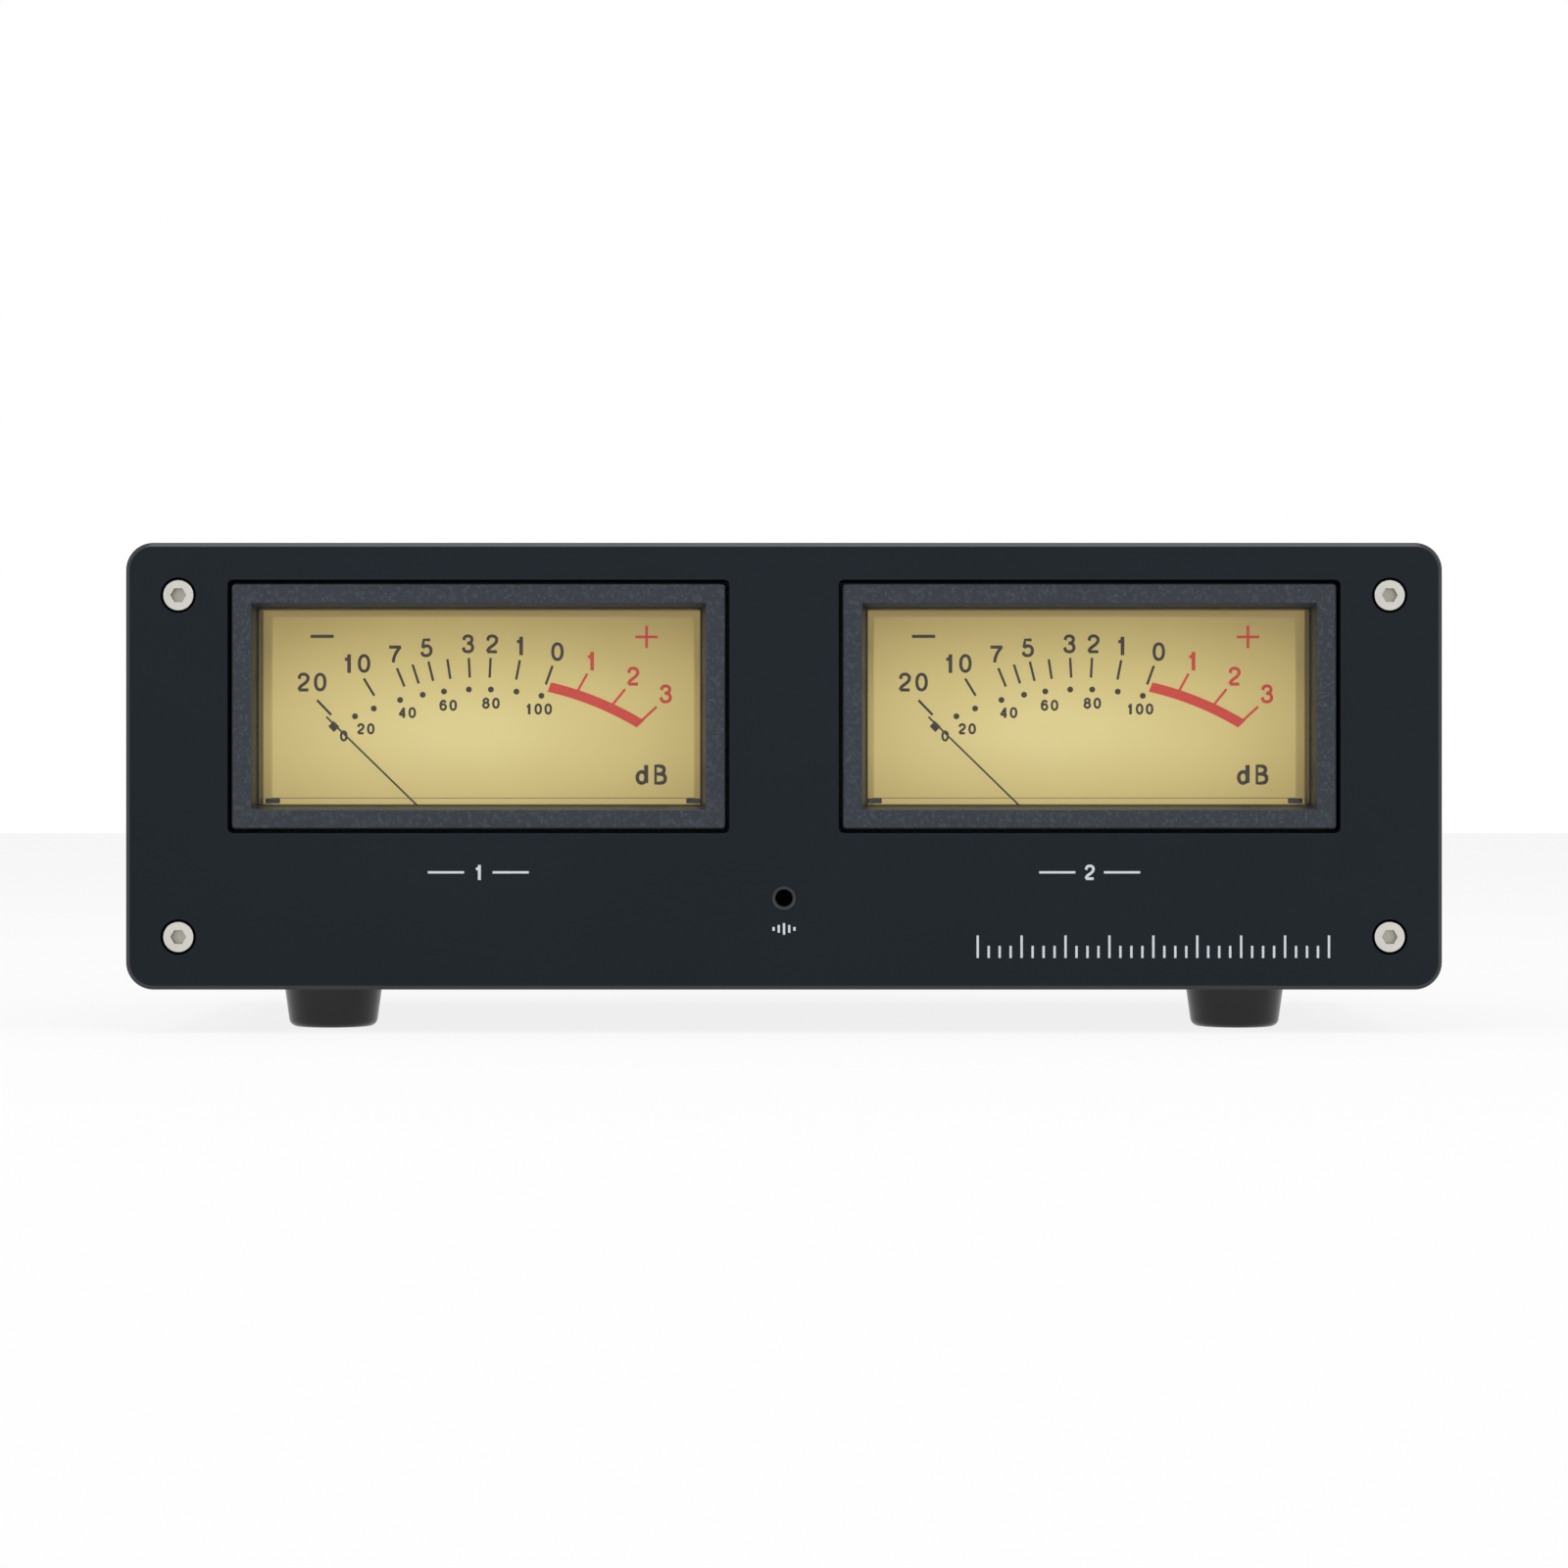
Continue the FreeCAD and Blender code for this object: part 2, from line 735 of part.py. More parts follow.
def feet():
    """Tapered moulded feet and the screws up through them into the bottom plate."""
    top = size.foot_top_diameter / 2
    base = size.foot_base_diameter / 2
    bore = size.foot_bore_diameter / 2
    hole = size.screw_diameter / 2 + size.thread_gap
    ledge = foot_height - size.foot_floor
    spread = (top - base) / foot_height
    edge = []
    for degrees in FOOT_EDGE_STEPS:
        out = size.foot_edge * (1 - math.sin(math.radians(degrees)))
        rise = size.foot_edge * (1 - math.cos(math.radians(degrees)))
        edge.append((base - out + rise * spread, rise))
    for name, (x, depth) in foot_places.items():
        body = new_body(f"{name}_foot", (x, front + depth, 0))
        revolve(body, "XZ_Plane", [(bore, 0)] + edge + [(top, foot_height), (hole, foot_height),
                                                        (hole, ledge), (bore, ledge)])
    screws = new_body("foot_screws", (0, front, 0), group=True)
    spots = list(foot_places.values())
    head = new_sketch(screws, "XY_Plane", ledge - size.foot_screw_head_height)
    draw_circles(head, spots, size.foot_screw_head_diameter / 2)
    pad(screws, head, size.foot_screw_head_height)
    shank = new_sketch(screws, "XY_Plane", ledge)
    draw_circles(shank, spots, size.screw_diameter / 2)
    pad(screws, shank, size.foot_floor + size.plate_thickness + size.foot_screw_tail)
    drive = new_sketch(screws, "XY_Plane", ledge - size.foot_screw_head_height)
    draw_hexagons(drive, spots, size.hex_width)
    pocket(screws, drive, size.hex_depth, forward=True)


def bezel(name, place):
    """Frame that fills the window, with a sloped lip and a flange behind the panel."""
    body = new_body(f"{name}_bezel", place)
    wide, tall = size.bezel_width / 2, size.bezel_height / 2
    frame = layer(body, size.bezel_recess, flange_back, draw_rounded, -wide, wide, -tall, tall,
                  size.bezel_corner)
    soften(body, frame, "Chamfer", size.bezel_edge,
           lambda point: abs(point.y - size.bezel_recess.number) < TINY)
    layer(body, flange_depth, flange_back, draw_rounded, -flange_half_width, flange_half_width,
          -flange_bottom, flange_top, size.window_corner)
    for x, z in ear_places:
        layer(body, flange_depth, flange_back, draw_circle, x, z, size.ear_radius)
    inner_wide = cover_width / 2 + size.cover_gap
    inner_tall = cover_height / 2 + size.cover_gap
    hollow(body, size.bezel_recess, flange_back, draw_rectangle,
           -inner_wide, inner_wide, -inner_tall, inner_tall)
    hollow(body, flange_depth, flange_back, draw_circles, ear_places,
           size.meter_screw_diameter / 2 + size.screw_hole_gap)
    mouth = new_sketch(body, "XZ_Plane", -size.bezel_recess)
    draw_rectangle(mouth, -opening_width / 2, opening_width / 2,
                   -opening_height / 2, opening_height / 2)
    throat = new_sketch(body, "XZ_Plane", -(size.bezel_recess + size.lip_depth))
    draw_rectangle(throat, -inner_wide, inner_wide, -inner_tall, inner_tall)
    before = body.Shape.Volume
    slope = body.newObject("PartDesign::SubtractiveLoft", "Slope")
    slope.Profile = mouth
    slope.Sections = [throat]
    slope.Ruled = True
    check_volume(body, before, False)


def window(name, place):
    """Clear five-sided cover whose flange is held between the bezel and the case."""
    body = new_body(f"{name}_window", place)
    wide, tall = cover_width / 2, cover_height / 2
    face = size.bezel_recess + size.lip_depth + size.cover_gap
    flange = flange_back + size.seat_gap
    layer(body, face, cover_back, draw_rounded, -wide, wide, -tall, tall, size.cover_corner)
    layer(body, flange, cover_back, draw_rounded, -wide - size.cover_flange, wide + size.cover_flange,
          -tall - size.cover_flange, tall + size.cover_flange, size.cover_corner)
    hollow(body, face + size.cover_wall, cover_back, draw_rectangle,
           -wide + size.cover_wall, wide - size.cover_wall,
           -tall + size.cover_wall, tall - size.cover_wall)


case_half_width = cover_width / 2 + size.cover_flange + size.case_margin
case_top = cover_height / 2 + size.cover_flange + size.case_margin
case_bottom = flange_bottom - size.case_margin
light_box_drop = cover_height / 2 + size.light_box_step
partition_low = light_box_drop + size.partition
case_inside = case_half_width - size.case_wall
case_inside_top = case_top - size.case_wall
case_floor = size.case_depth - size.case_wall


def case(name, place):
    """Moulded housing: a light box behind the dial and a bay for the movement under it."""
    body = new_body(f"{name}_case", place)
    start = cover_back + size.seat_gap
    skirt_top = -(cover_height / 2 + size.cover_flange + size.case_margin / 2)
    layer(body, start, size.case_depth, draw_rounded, -case_half_width, case_half_width,
          -case_bottom, case_top, size.case_corner)
    layer(body, flange_back, start, draw_rectangle, -case_half_width, case_half_width,
          -case_bottom + size.case_corner, skirt_top)
    for side in (-1, 1):
        inside = side * (case_half_width - size.case_margin / 2)
        for z in (ear_high, -ear_low):
            layer(body, flange_back, flange_back + size.ear_thickness, draw_rectangle,
                  inside if side > 0 else -ear_side, ear_side if side > 0 else inside,
                  z - size.ear_radius, z + size.ear_radius)
            layer(body, flange_back, flange_back + size.ear_thickness, draw_circle,
                  side * ear_side, z, size.ear_radius)
    hollow(body, flange_back, flange_back + size.ear_thickness, draw_circles, ear_places,
           size.meter_screw_diameter / 2 + size.screw_hole_gap)
    hollow(body, start, dial_back, draw_rectangle, -case_inside, case_inside,
           -partition_low, case_inside_top)
    light_half = case_inside - size.case_step
    hollow(body, dial_back, case_floor, draw_rectangle, -light_half, light_half,
           -light_box_drop, case_inside_top - size.case_step)
    hollow(body, flange_back, case_floor, draw_rectangle, -case_inside, case_inside,
           -case_bottom + size.case_wall, -partition_low)


def dial(name, place):
    """Translucent dial plate on the case's ledges."""
    body = new_body(f"{name}_dial", place)
    wide = case_inside - size.dial_gap
    layer(body, size.dial_depth, dial_back, draw_rectangle, -wide, wide,
          -partition_low + size.dial_gap, case_inside_top - size.dial_gap)


# Places of the lamps, as shares of half the board's width
LAMP_SHARES = (-0.75, -0.25, 0.25, 0.75)


def backlight_board(name, place):
    """Strip of lamps on a board at the back of the light box."""
    body = new_body(f"{name}_backlight_board", place)
    back = case_floor
    face = back - size.board_thickness
    wide = cover_width / 2 - size.backlight_margin
    layer(body, face, back, draw_rectangle, -wide, wide,
          -size.backlight_height / 2, size.backlight_height / 2)
    for share in LAMP_SHARES:
        centre = share * wide
        layer(body, face - size.lamp_thickness, face, draw_rectangle,
              centre - size.lamp_width / 2, centre + size.lamp_width / 2,
              -size.lamp_height / 2, size.lamp_height / 2)


def meter_screws(name, place):
    """Slotted screws through the ears of the case and bezel into the front panel."""
    body = new_body(f"{name}_meter_screws", place, group=True)
    seat = flange_back + size.ear_thickness
    tip = size.panel_thickness - size.meter_screw_bite
    layer(body, seat, seat + size.meter_screw_head_height, draw_circles, ear_places,
          size.meter_screw_head_diameter / 2)
    layer(body, tip, seat, draw_circles, ear_places, size.meter_screw_diameter / 2)
    drawing = new_sketch(body, "XZ_Plane", -(seat + size.meter_screw_head_height / 2))
    half = size.meter_screw_head_diameter / 2 + size.hole_gap
    for x, z in ear_places:
        draw_rectangle(drawing, x - half, x + half,
                       z - size.meter_screw_slot / 2, z + size.meter_screw_slot / 2)
    pocket(body, drawing, size.meter_screw_head_height)


bridge_back = size.bridge_depth + size.bridge_thickness
jewel_back = bridge_back + size.lever_thickness + size.lever_gap
needle_back = size.needle_depth + size.needle_thickness
coil_front = size.yoke_depth - size.coil_end_gap - size.coil_wire
coil_back = size.yoke_depth + size.yoke_length + size.coil_end_gap + size.coil_wire
coil_outer = size.coil_inner + size.coil_wire
rear_bridge_back = size.rear_bridge_depth + size.rear_bridge_thickness
rear_jewel_front = size.spring_back_depth + size.spring_width + size.collet_length / 2


def yoke(name, place):
    """Soft iron ring round the coil."""
    body = new_body(f"{name}_yoke_ring", place)
    start, end = size.yoke_depth, size.yoke_depth + size.yoke_length
    layer(body, start, end, draw_circle, 0, 0, size.yoke_radius)
    hollow(body, start, end, draw_circle, 0, 0, size.yoke_bore)


def core(name, place):
    """Cylindrical magnet inside the coil."""
    body = new_body(f"{name}_core_magnet", place)
    layer(body, size.yoke_depth, size.yoke_depth + size.yoke_length, draw_circle, 0, 0,
          size.core_radius)


def front_bridge(name, place):
    """Bridge in front of the coil on two pillars, holding the front jewel."""
    body = new_body(f"{name}_front_bridge", place)
    end = size.pillar_side + size.bridge_height / 2
    layer(body, size.bridge_depth, bridge_back, draw_rounded, -end, end,
          -size.bridge_height / 2, size.bridge_height / 2, size.bridge_height / 2 - size.seat_gap)
    pillars = [(-size.pillar_side, 0), (size.pillar_side, 0)]
    layer(body, size.bridge_depth, size.rear_bridge_depth, draw_circles, pillars, size.pillar_radius)
    hollow(body, size.bridge_depth, bridge_back, draw_circle, 0, 0, size.jewel_radius)


def rear_bridge(name, place):
    """Cast bridge on the case's back, with two fingers that hold the core inside the yoke."""
    body = new_body(f"{name}_rear_bridge", place)
    end = size.pillar_side + size.rear_bridge_height / 2
    half = size.rear_bridge_height / 2
    layer(body, size.rear_bridge_depth, rear_bridge_back, draw_rounded, -end, end, -half, half,
          half - size.seat_gap)
    reach = size.yoke_radius
    layer(body, size.rear_bridge_depth, rear_bridge_back, draw_rectangle,
          -size.finger_half_width, size.finger_half_width, -reach, reach)
    pillars = [(-size.pillar_side, 0), (size.pillar_side, 0)]
    layer(body, rear_bridge_back, case_floor, draw_circles, pillars, size.pillar_radius)
    inner = size.core_radius + size.finger_gap
    outer = size.yoke_bore - size.finger_gap
    corner = (outer.number ** 2 - size.finger_half_width.number ** 2) ** 0.5
    flat = Length(corner, f"sqrt({outer.formula}^2 - {size.finger_half_width.formula}^2)")
    for side in (-1, 1):
        layer(body, size.yoke_depth, size.rear_bridge_depth, draw_polygon,
              [(-size.finger_half_width, side * inner), (size.finger_half_width, side * inner),
               (size.finger_half_width, side * flat), (-size.finger_half_width, side * flat)])
    hollow(body, size.rear_bridge_depth, rear_bridge_back, draw_circle, 0, 0, size.jewel_radius)


def jewel_screws(name, place):
    """The two bearing screws, each with a socket for a pivot's tip."""
    body = new_body(f"{name}_jewel_screws", place, group=True)
    front_face = size.bridge_depth - size.bridge_thickness / 4
    layer(body, front_face, jewel_back, draw_circle, 0, 0, size.jewel_radius)
    layer(body, rear_jewel_front, rear_bridge_back + size.bridge_thickness, draw_circle, 0, 0,
          size.jewel_radius)
    socket = size.staff_radius + size.jewel_gap
    hollow(body, jewel_back - size.jewel_socket, jewel_back, draw_circle, 0, 0, socket)
    hollow(body, rear_jewel_front, rear_jewel_front + size.jewel_socket, draw_circle, 0, 0, socket)


def zero_lever(name, place):
    """Lever that turns on the front jewel and sets where the needle rests."""
    body = new_body(f"{name}_zero_lever", place)
    start, end = bridge_back + size.lever_gap / 2, jewel_back - size.lever_gap / 2
    half = size.lever_width / 2
    layer(body, start, end, draw_circle, 0, 0, size.lever_ring)
    layer(body, start, end, draw_rectangle, -size.lever_fork, size.lever_arm, -half, half)
    hollow(body, start, end, draw_circle, 0, 0, size.jewel_radius + size.lever_gap)
    hollow(body, start, end, draw_rectangle, -size.lever_fork, -size.lever_arm,
           -size.fork_slot / 2, size.fork_slot / 2)
    layer(body, start, size.spring_depth + size.spring_width, draw_rectangle,
          size.lever_arm - size.tab_thickness, size.lever_arm, -half, half)


def turned_body(label, place):
    """A body built upright and leaned to the needle's angle of rest."""
    body = new_body(label, place)
    body.Placement = Placement(Vector(0, 0, 0), Rotation(Vector(0, -1, 0), size.rest_angle.number))
    bind(body, "Placement.Rotation.Angle", size.rest_angle)
    return body


def coil(name, place):
    """Rectangular winding round the core, which swings in the yoke's gap."""
    body = turned_body(f"{name}_coil", place)
    drawing = new_sketch(body, "XY_Plane")
    draw_rounded(drawing, -coil_outer, coil_outer, coil_front, coil_back, size.coil_corner)
    pad(body, drawing, size.coil_width, both_ways=True)
    inside = new_sketch(body, "XY_Plane")
    draw_rectangle(inside, -size.coil_inner, size.coil_inner,
                   coil_front + size.coil_wire, coil_back - size.coil_wire)
    pocket(body, inside, size.coil_width, both_ways=True)


def staff(name, place):
    """The two pivots, glued to the coil's ends, with the springs' collets on them."""
    body = new_body(f"{name}_staff", place, group=True)
    thin, collet = size.staff_radius, size.collet_radius
    tip = jewel_back - size.jewel_socket + size.pivot_end_gap
    rear_tip = rear_jewel_front + size.jewel_socket - size.pivot_end_gap
    middle = size.spring_depth + size.spring_width / 2
    near = middle - size.collet_length / 2
    far = middle + size.collet_length / 2
    revolve(body, "XY_Plane", [(0, tip), (thin, tip + thin), (thin, near), (collet, near),
                               (collet, far), (thin, far), (thin, coil_front), (0, coil_front)])
    middle = size.spring_back_depth + size.spring_width / 2
    near = middle - size.collet_length / 2
    far = middle + size.collet_length / 2
    revolve(body, "XY_Plane", [(0, coil_back), (thin, coil_back), (thin, near), (collet, near),
                               (collet, far), (thin, far), (thin, rear_tip - thin), (0, rear_tip)])


def needle(name, place):
    """Fine needle with its hub on the front pivot and a balance weight on its tail."""
    body = turned_body(f"{name}_needle", place)
    start, end = size.needle_depth, needle_back
    half = size.needle_width / 2
    layer(body, start, end, draw_circle, 0, 0, size.hub_radius)
    layer(body, start, end, draw_rectangle, -half, half, -size.needle_tail, size.needle_length)
    layer(body, start, start + size.weight_length, draw_circle, 0, -size.needle_tail,
          size.weight_diameter / 2)
    hollow(body, start, end, draw_circle, 0, 0, size.staff_radius)


def spiral(turns, place):
    """A flat spiral strip made of half circles whose centres step from side to side."""
    step = size.spring_pitch.number / 2
    strip = size.spring_strip.number
    wide = size.spring_width.number
    edges = []
    for offset in (0, strip):
        run = []
        radius = size.spring_inner.number + offset
        centre = 0.0
        for half in range(turns):
            side = 1 if half % 2 == 0 else -1
            first = Vector(centre + side * radius, 0, 0)
            top = Vector(centre, 0, side * radius)
            last = Vector(centre - side * radius, 0, 0)
            run.append(Part.Arc(first, top, last).toShape())
            centre += side * step / 2
            radius += step / 2
        edges.append(run)
    inner, outer = edges
    start = Part.makeLine(inner[0].Vertexes[0].Point, outer[0].Vertexes[0].Point)
    end = Part.makeLine(inner[-1].Vertexes[-1].Point, outer[-1].Vertexes[-1].Point)
    outline = Part.Wire(Part.__sortEdges__(inner + [end] + outer + [start]))
    solid = Part.Face(outline).extrude(Vector(0, wide, 0))
    solid.translate(place)
    return solid


def hairsprings(name, place):
    """The two springs that bring the coil back to rest and carry its current."""
    reach = size.lever_arm - size.tab_thickness - size.spring_tab_gap - size.spring_inner
    turns = int(2 * reach.number / size.spring_pitch.number)
    springs = [spiral(turns, Vector(0, depth.number, 0))
               for depth in (size.spring_depth, size.spring_back_depth)]
    feature = document.addObject("Part::Feature", f"{name}_hairsprings")
    feature.Label = f"{name}_hairsprings"
    feature.Shape = Part.makeCompound(springs)
    feature.Placement = Placement(Vector(*[length(value).number for value in place]), Rotation())
    for axis, value in zip("xyz", place):
        bind(feature, f"Placement.Base.{axis}", value)
    nodes.append(feature)


def meters():
    """Both meters, each about the middle of its bezel or about its pivot."""
    for name, side in (("left", -1), ("right", 1)):
        place = (side * meter_side, front, meter_height)
        for make in (bezel, window, case, dial, backlight_board, meter_screws):
            make(name, place)
        place = (side * meter_side, front, pivot_height)
        for make in (yoke, core, front_bridge, rear_bridge, jewel_screws, zero_lever, coil, staff,
                     needle, hairsprings):
            make(name, place)


def flat_layer(body, low, high, draw, *shape):
    """Add a level layer of the body between two heights, with a drawn outline."""
    drawing = new_sketch(body, "XY_Plane", low)
    draw(drawing, *shape)
    pad(body, drawing, length(high) - low)


# Places in their rows, in pitches from the middle
CAPACITOR_STEPS = (-3, -2, 2, 3)
CHIP_STEPS = (-1.5, -0.5, 0.5, 1.5)


def electronics():
    """Driver board on standoffs, its components and the microphone capsule."""
    board_level = plate_floor + size.standoff_height
    board_top = board_level + size.driver_thickness
    wide, reach = size.board_width / 2, size.board_length / 2
    board = new_body("driver_board", (0, front, 0))
    flat_layer(board, board_level, board_top, draw_rectangle, -wide, wide,
               board_middle - reach, board_middle + reach)
    holes = new_sketch(board, "XY_Plane", board_level)
    draw_circles(holes, board_spots, size.screw_diameter / 2 + size.screw_hole_gap)
    pocket(board, holes, size.driver_thickness, forward=True)

    standoffs = new_body("board_standoffs", (0, front, 0), group=True)
    flat_layer(standoffs, plate_floor, board_level, draw_hexagons, board_spots, size.standoff_width)
    flat_layer(standoffs, foot_height, plate_floor, draw_circles, board_spots, size.screw_diameter / 2)
    bores = new_sketch(standoffs, "XY_Plane", board_level - size.board_screw_reach)
    draw_circles(bores, board_spots, size.screw_diameter / 2 + size.thread_gap)
    pocket(standoffs, bores, size.board_screw_reach, forward=True)

    screws = new_body("board_screws", (0, front, 0), group=True)
    head_top = board_top + size.board_screw_head_height
    flat_layer(screws, board_top, head_top, draw_circles, board_spots, size.board_screw_head / 2)
    shank_low = board_level - size.board_screw_reach + size.pivot_end_gap
    flat_layer(screws, shank_low, board_top, draw_circles, board_spots, size.screw_diameter / 2)
    drive = new_sketch(screws, "XY_Plane", board_top + size.board_screw_head_height / 2)
    draw_hexagons(drive, board_spots, size.hex_width)
    pocket(screws, drive, size.board_screw_head_height, forward=True)

    parts = new_body("board_components", (0, front, board_top), group=True)
    cans = [(step * size.capacitor_pitch, board_middle + size.capacitor_pitch)
            for step in CAPACITOR_STEPS]
    flat_layer(parts, 0, size.capacitor_height, draw_circles, cans, size.capacitor_diameter / 2)
    for step in CHIP_STEPS:
        middle = step * size.chip_pitch
        back = board_middle - size.chip_length
        flat_layer(parts, 0, size.chip_height, draw_rectangle, middle - size.chip_width / 2,
                   middle + size.chip_width / 2, back - size.chip_length / 2, back + size.chip_length / 2)

    capsule = new_body("mic_capsule", (0, front, panel_middle - mic_drop))
    layer(capsule, size.mic_web, size.mic_web + size.mic_capsule_length, draw_circle, 0, 0,
          size.mic_capsule_diameter / 2)


control_level = panel_middle + size.control_rise


def input_jack(label, side):
    """Panel jack: outer shell, flange, barrel through the panel and solder tail."""
    body = new_body(label, (side, front, control_level))
    shell, bore = size.jack_shell_diameter / 2, size.jack_bore_diameter / 2
    flange, barrel = size.jack_flange_diameter / 2, size.jack_barrel_diameter / 2
    tail = size.jack_tail_diameter / 2
    outer_face = rear_face + size.jack_flange_thickness
    end = outer_face + size.jack_shell_length
    inside = rear_inside - size.jack_flange_thickness
    revolve(body, "XY_Plane", [(0, inside - size.jack_tail_length), (tail, inside - size.jack_tail_length),
                               (tail, inside), (barrel, inside), (barrel, rear_face),
                               (flange, rear_face), (flange, outer_face), (shell, outer_face),
                               (shell, end), (bore, end), (bore, end - size.jack_bore_depth),
                               (0, end - size.jack_bore_depth)])


def power_inlet():
    """Round low-voltage inlet with its centre pin."""
    body = new_body("power_inlet", (inlet_side, front, control_level))
    flange, barrel = size.inlet_flange_diameter / 2, size.inlet_barrel_diameter / 2
    bore, pin = size.inlet_bore_diameter / 2, size.inlet_pin_diameter / 2
    end = rear_face + size.inlet_flange_thickness
    floor = end - size.inlet_bore_depth
    tail = rear_inside - size.inlet_tail_length
    pin_end = end - size.inlet_flange_thickness / 2
    revolve(body, "XY_Plane", [(0, tail), (barrel, tail), (barrel, rear_face), (flange, rear_face),
                               (flange, end), (bore, end), (bore, floor), (pin, floor),
                               (pin, pin_end), (0, pin_end)])


def power_switch():
    """Toggle switch: body behind the panel, threaded bush and nut."""
    body = new_body("power_switch", (size.switch_side, front, control_level))
    wide, tall = size.switch_body_width / 2, size.switch_body_height / 2
    layer(body, rear_inside - size.switch_body_length, rear_inside, draw_rectangle,
          -wide, wide, -tall, tall)
    end = rear_inside + size.switch_bush_length
    layer(body, rear_inside, end, draw_circle, 0, 0, size.switch_bush_diameter / 2)
    layer(body, rear_face, rear_face + size.switch_nut_thickness, draw_hexagon, 0, 0,
          size.switch_nut_width)
    depth = size.lever_ball_diameter + size.hole_gap
    hollow(body, rear_inside - depth + size.lever_pivot_inset + size.lever_ball_diameter / 2, end,
           draw_circle, 0, 0, size.switch_bush_bore / 2)


switch_pivot = rear_inside + size.lever_pivot_inset
# Shares of a radius that put a corner of the outline on a round end
ROUND_SHARES = (0.6, 0.8)


def power_lever():
    """Bat-shaped lever with a ball and a pivot pin in the bush, tilted down at rest."""
    body = new_body("power_lever", (size.switch_side, front + switch_pivot, control_level))
    body.Placement = Placement(Vector(0, 0, 0), Rotation(Vector(-1, 0, 0), size.switch_tilt.number))
    bind(body, "Placement.Rotation.Angle", size.switch_tilt)
    ball = size.lever_ball_diameter / 2
    root, tip = size.lever_root_diameter / 2, size.lever_tip_diameter / 2
    end = size.lever_length - tip
    across, along = ROUND_SHARES
    revolve(body, "XY_Plane", [(0, -ball), (ball * across, -ball * along), (ball, 0),
                               (ball * across, ball * along), (root, ball), (root, ball + root),
                               (tip, end), (tip * along, end + tip * across),
                               (tip * across, end + tip * along), (0, size.lever_length)])
    pin = new_sketch(body, "YZ_Plane")
    draw_circle(pin, 0, 0, size.lever_pin_diameter / 2)
    pad(body, pin, size.lever_pin_length, both_ways=True)


def gain_control():
    """Potentiometer with its shaft, and the knob on the shaft."""
    pot = new_body("gain_pot", (-size.pot_side, front, control_level))
    body_start = rear_inside - size.pot_body_length
    layer(pot, body_start, rear_inside, draw_circle, 0, 0, size.pot_body_diameter / 2)
    bush_end = rear_inside + size.pot_bush_length
    layer(pot, rear_inside, bush_end, draw_circle, 0, 0, size.pot_bush_diameter / 2)
    layer(pot, rear_face, rear_face + size.pot_nut_thickness, draw_hexagon, 0, 0, size.pot_nut_width)
    shaft_start = rear_inside - size.pot_body_length / 2
    hollow(pot, shaft_start, bush_end, draw_circle, 0, 0, size.shaft_diameter / 2 + size.shaft_gap)

    knob_face = rear_face + size.pot_nut_thickness + size.knob_gap
    knob_end = knob_face + size.knob_length
    shaft = new_body("gain_shaft", (-size.pot_side, front, control_level))
    shaft_end = shaft_start + size.shaft_gap + size.shaft_length
    layer(shaft, shaft_start + size.shaft_gap, shaft_end, draw_circle, 0, 0, size.shaft_diameter / 2)
    drawing = new_sketch(shaft, "XZ_Plane", -(bush_end + size.shaft_gap))
    radius = size.shaft_diameter / 2
    draw_rectangle(drawing, -radius - size.hole_gap, radius + size.hole_gap,
                   radius - size.shaft_flat, radius + size.hole_gap)
    pocket(shaft, drawing, shaft_end - bush_end)

    knob = new_body("gain_knob", (-size.pot_side, front, control_level))
    blank = layer(knob, knob_face, knob_end, draw_circle, 0, 0, size.knob_diameter / 2)
    soften(knob, blank, "Chamfer", size.knob_edge, lambda point: point.y > knob_end.number - TINY)
    skirt_floor = knob_face + size.knob_skirt_depth
    hollow(knob, knob_face, skirt_floor, draw_circle, 0, 0, size.knob_skirt_bore / 2)
    bore = new_sketch(knob, "XZ_Plane", -skirt_floor)
    draw_circle(bore, 0, 0, radius + size.shaft_gap)
    pocket(knob, bore, shaft_end + size.shaft_gap - skirt_floor)
    flute = new_sketch(knob, "XZ_Plane", -knob_face)
    rim = size.knob_diameter / 2 + size.hole_gap
    draw_polygon(flute, [(-size.knob_flute_width / 2, rim), (0, rim - size.knob_flute_depth),
                         (size.knob_flute_width / 2, rim)])
    cut = pocket(knob, flute, size.knob_length - size.knob_edge)
    ring = knob.newObject("PartDesign::PolarPattern", "Flutes")
    ring.Originals = [cut]
    ring.Axis = (flute, ["N_Axis"])
    ring.Angle = 360
    bind(ring, "Occurrences", size.knob_flutes)
    knob.Tip = ring
    document.recompute()
    line = new_sketch(knob, "XZ_Plane", -(knob_end - size.knob_pointer_depth))
    draw_rectangle(line, -size.knob_pointer_width / 2, size.knob_pointer_width / 2,
                   size.knob_pointer_width, size.knob_diameter / 2 + size.hole_gap)
    pocket(knob, line, size.knob_pointer_depth)


# Share of a run that a bend takes at each of its ends
BEND_SHARE = 0.45


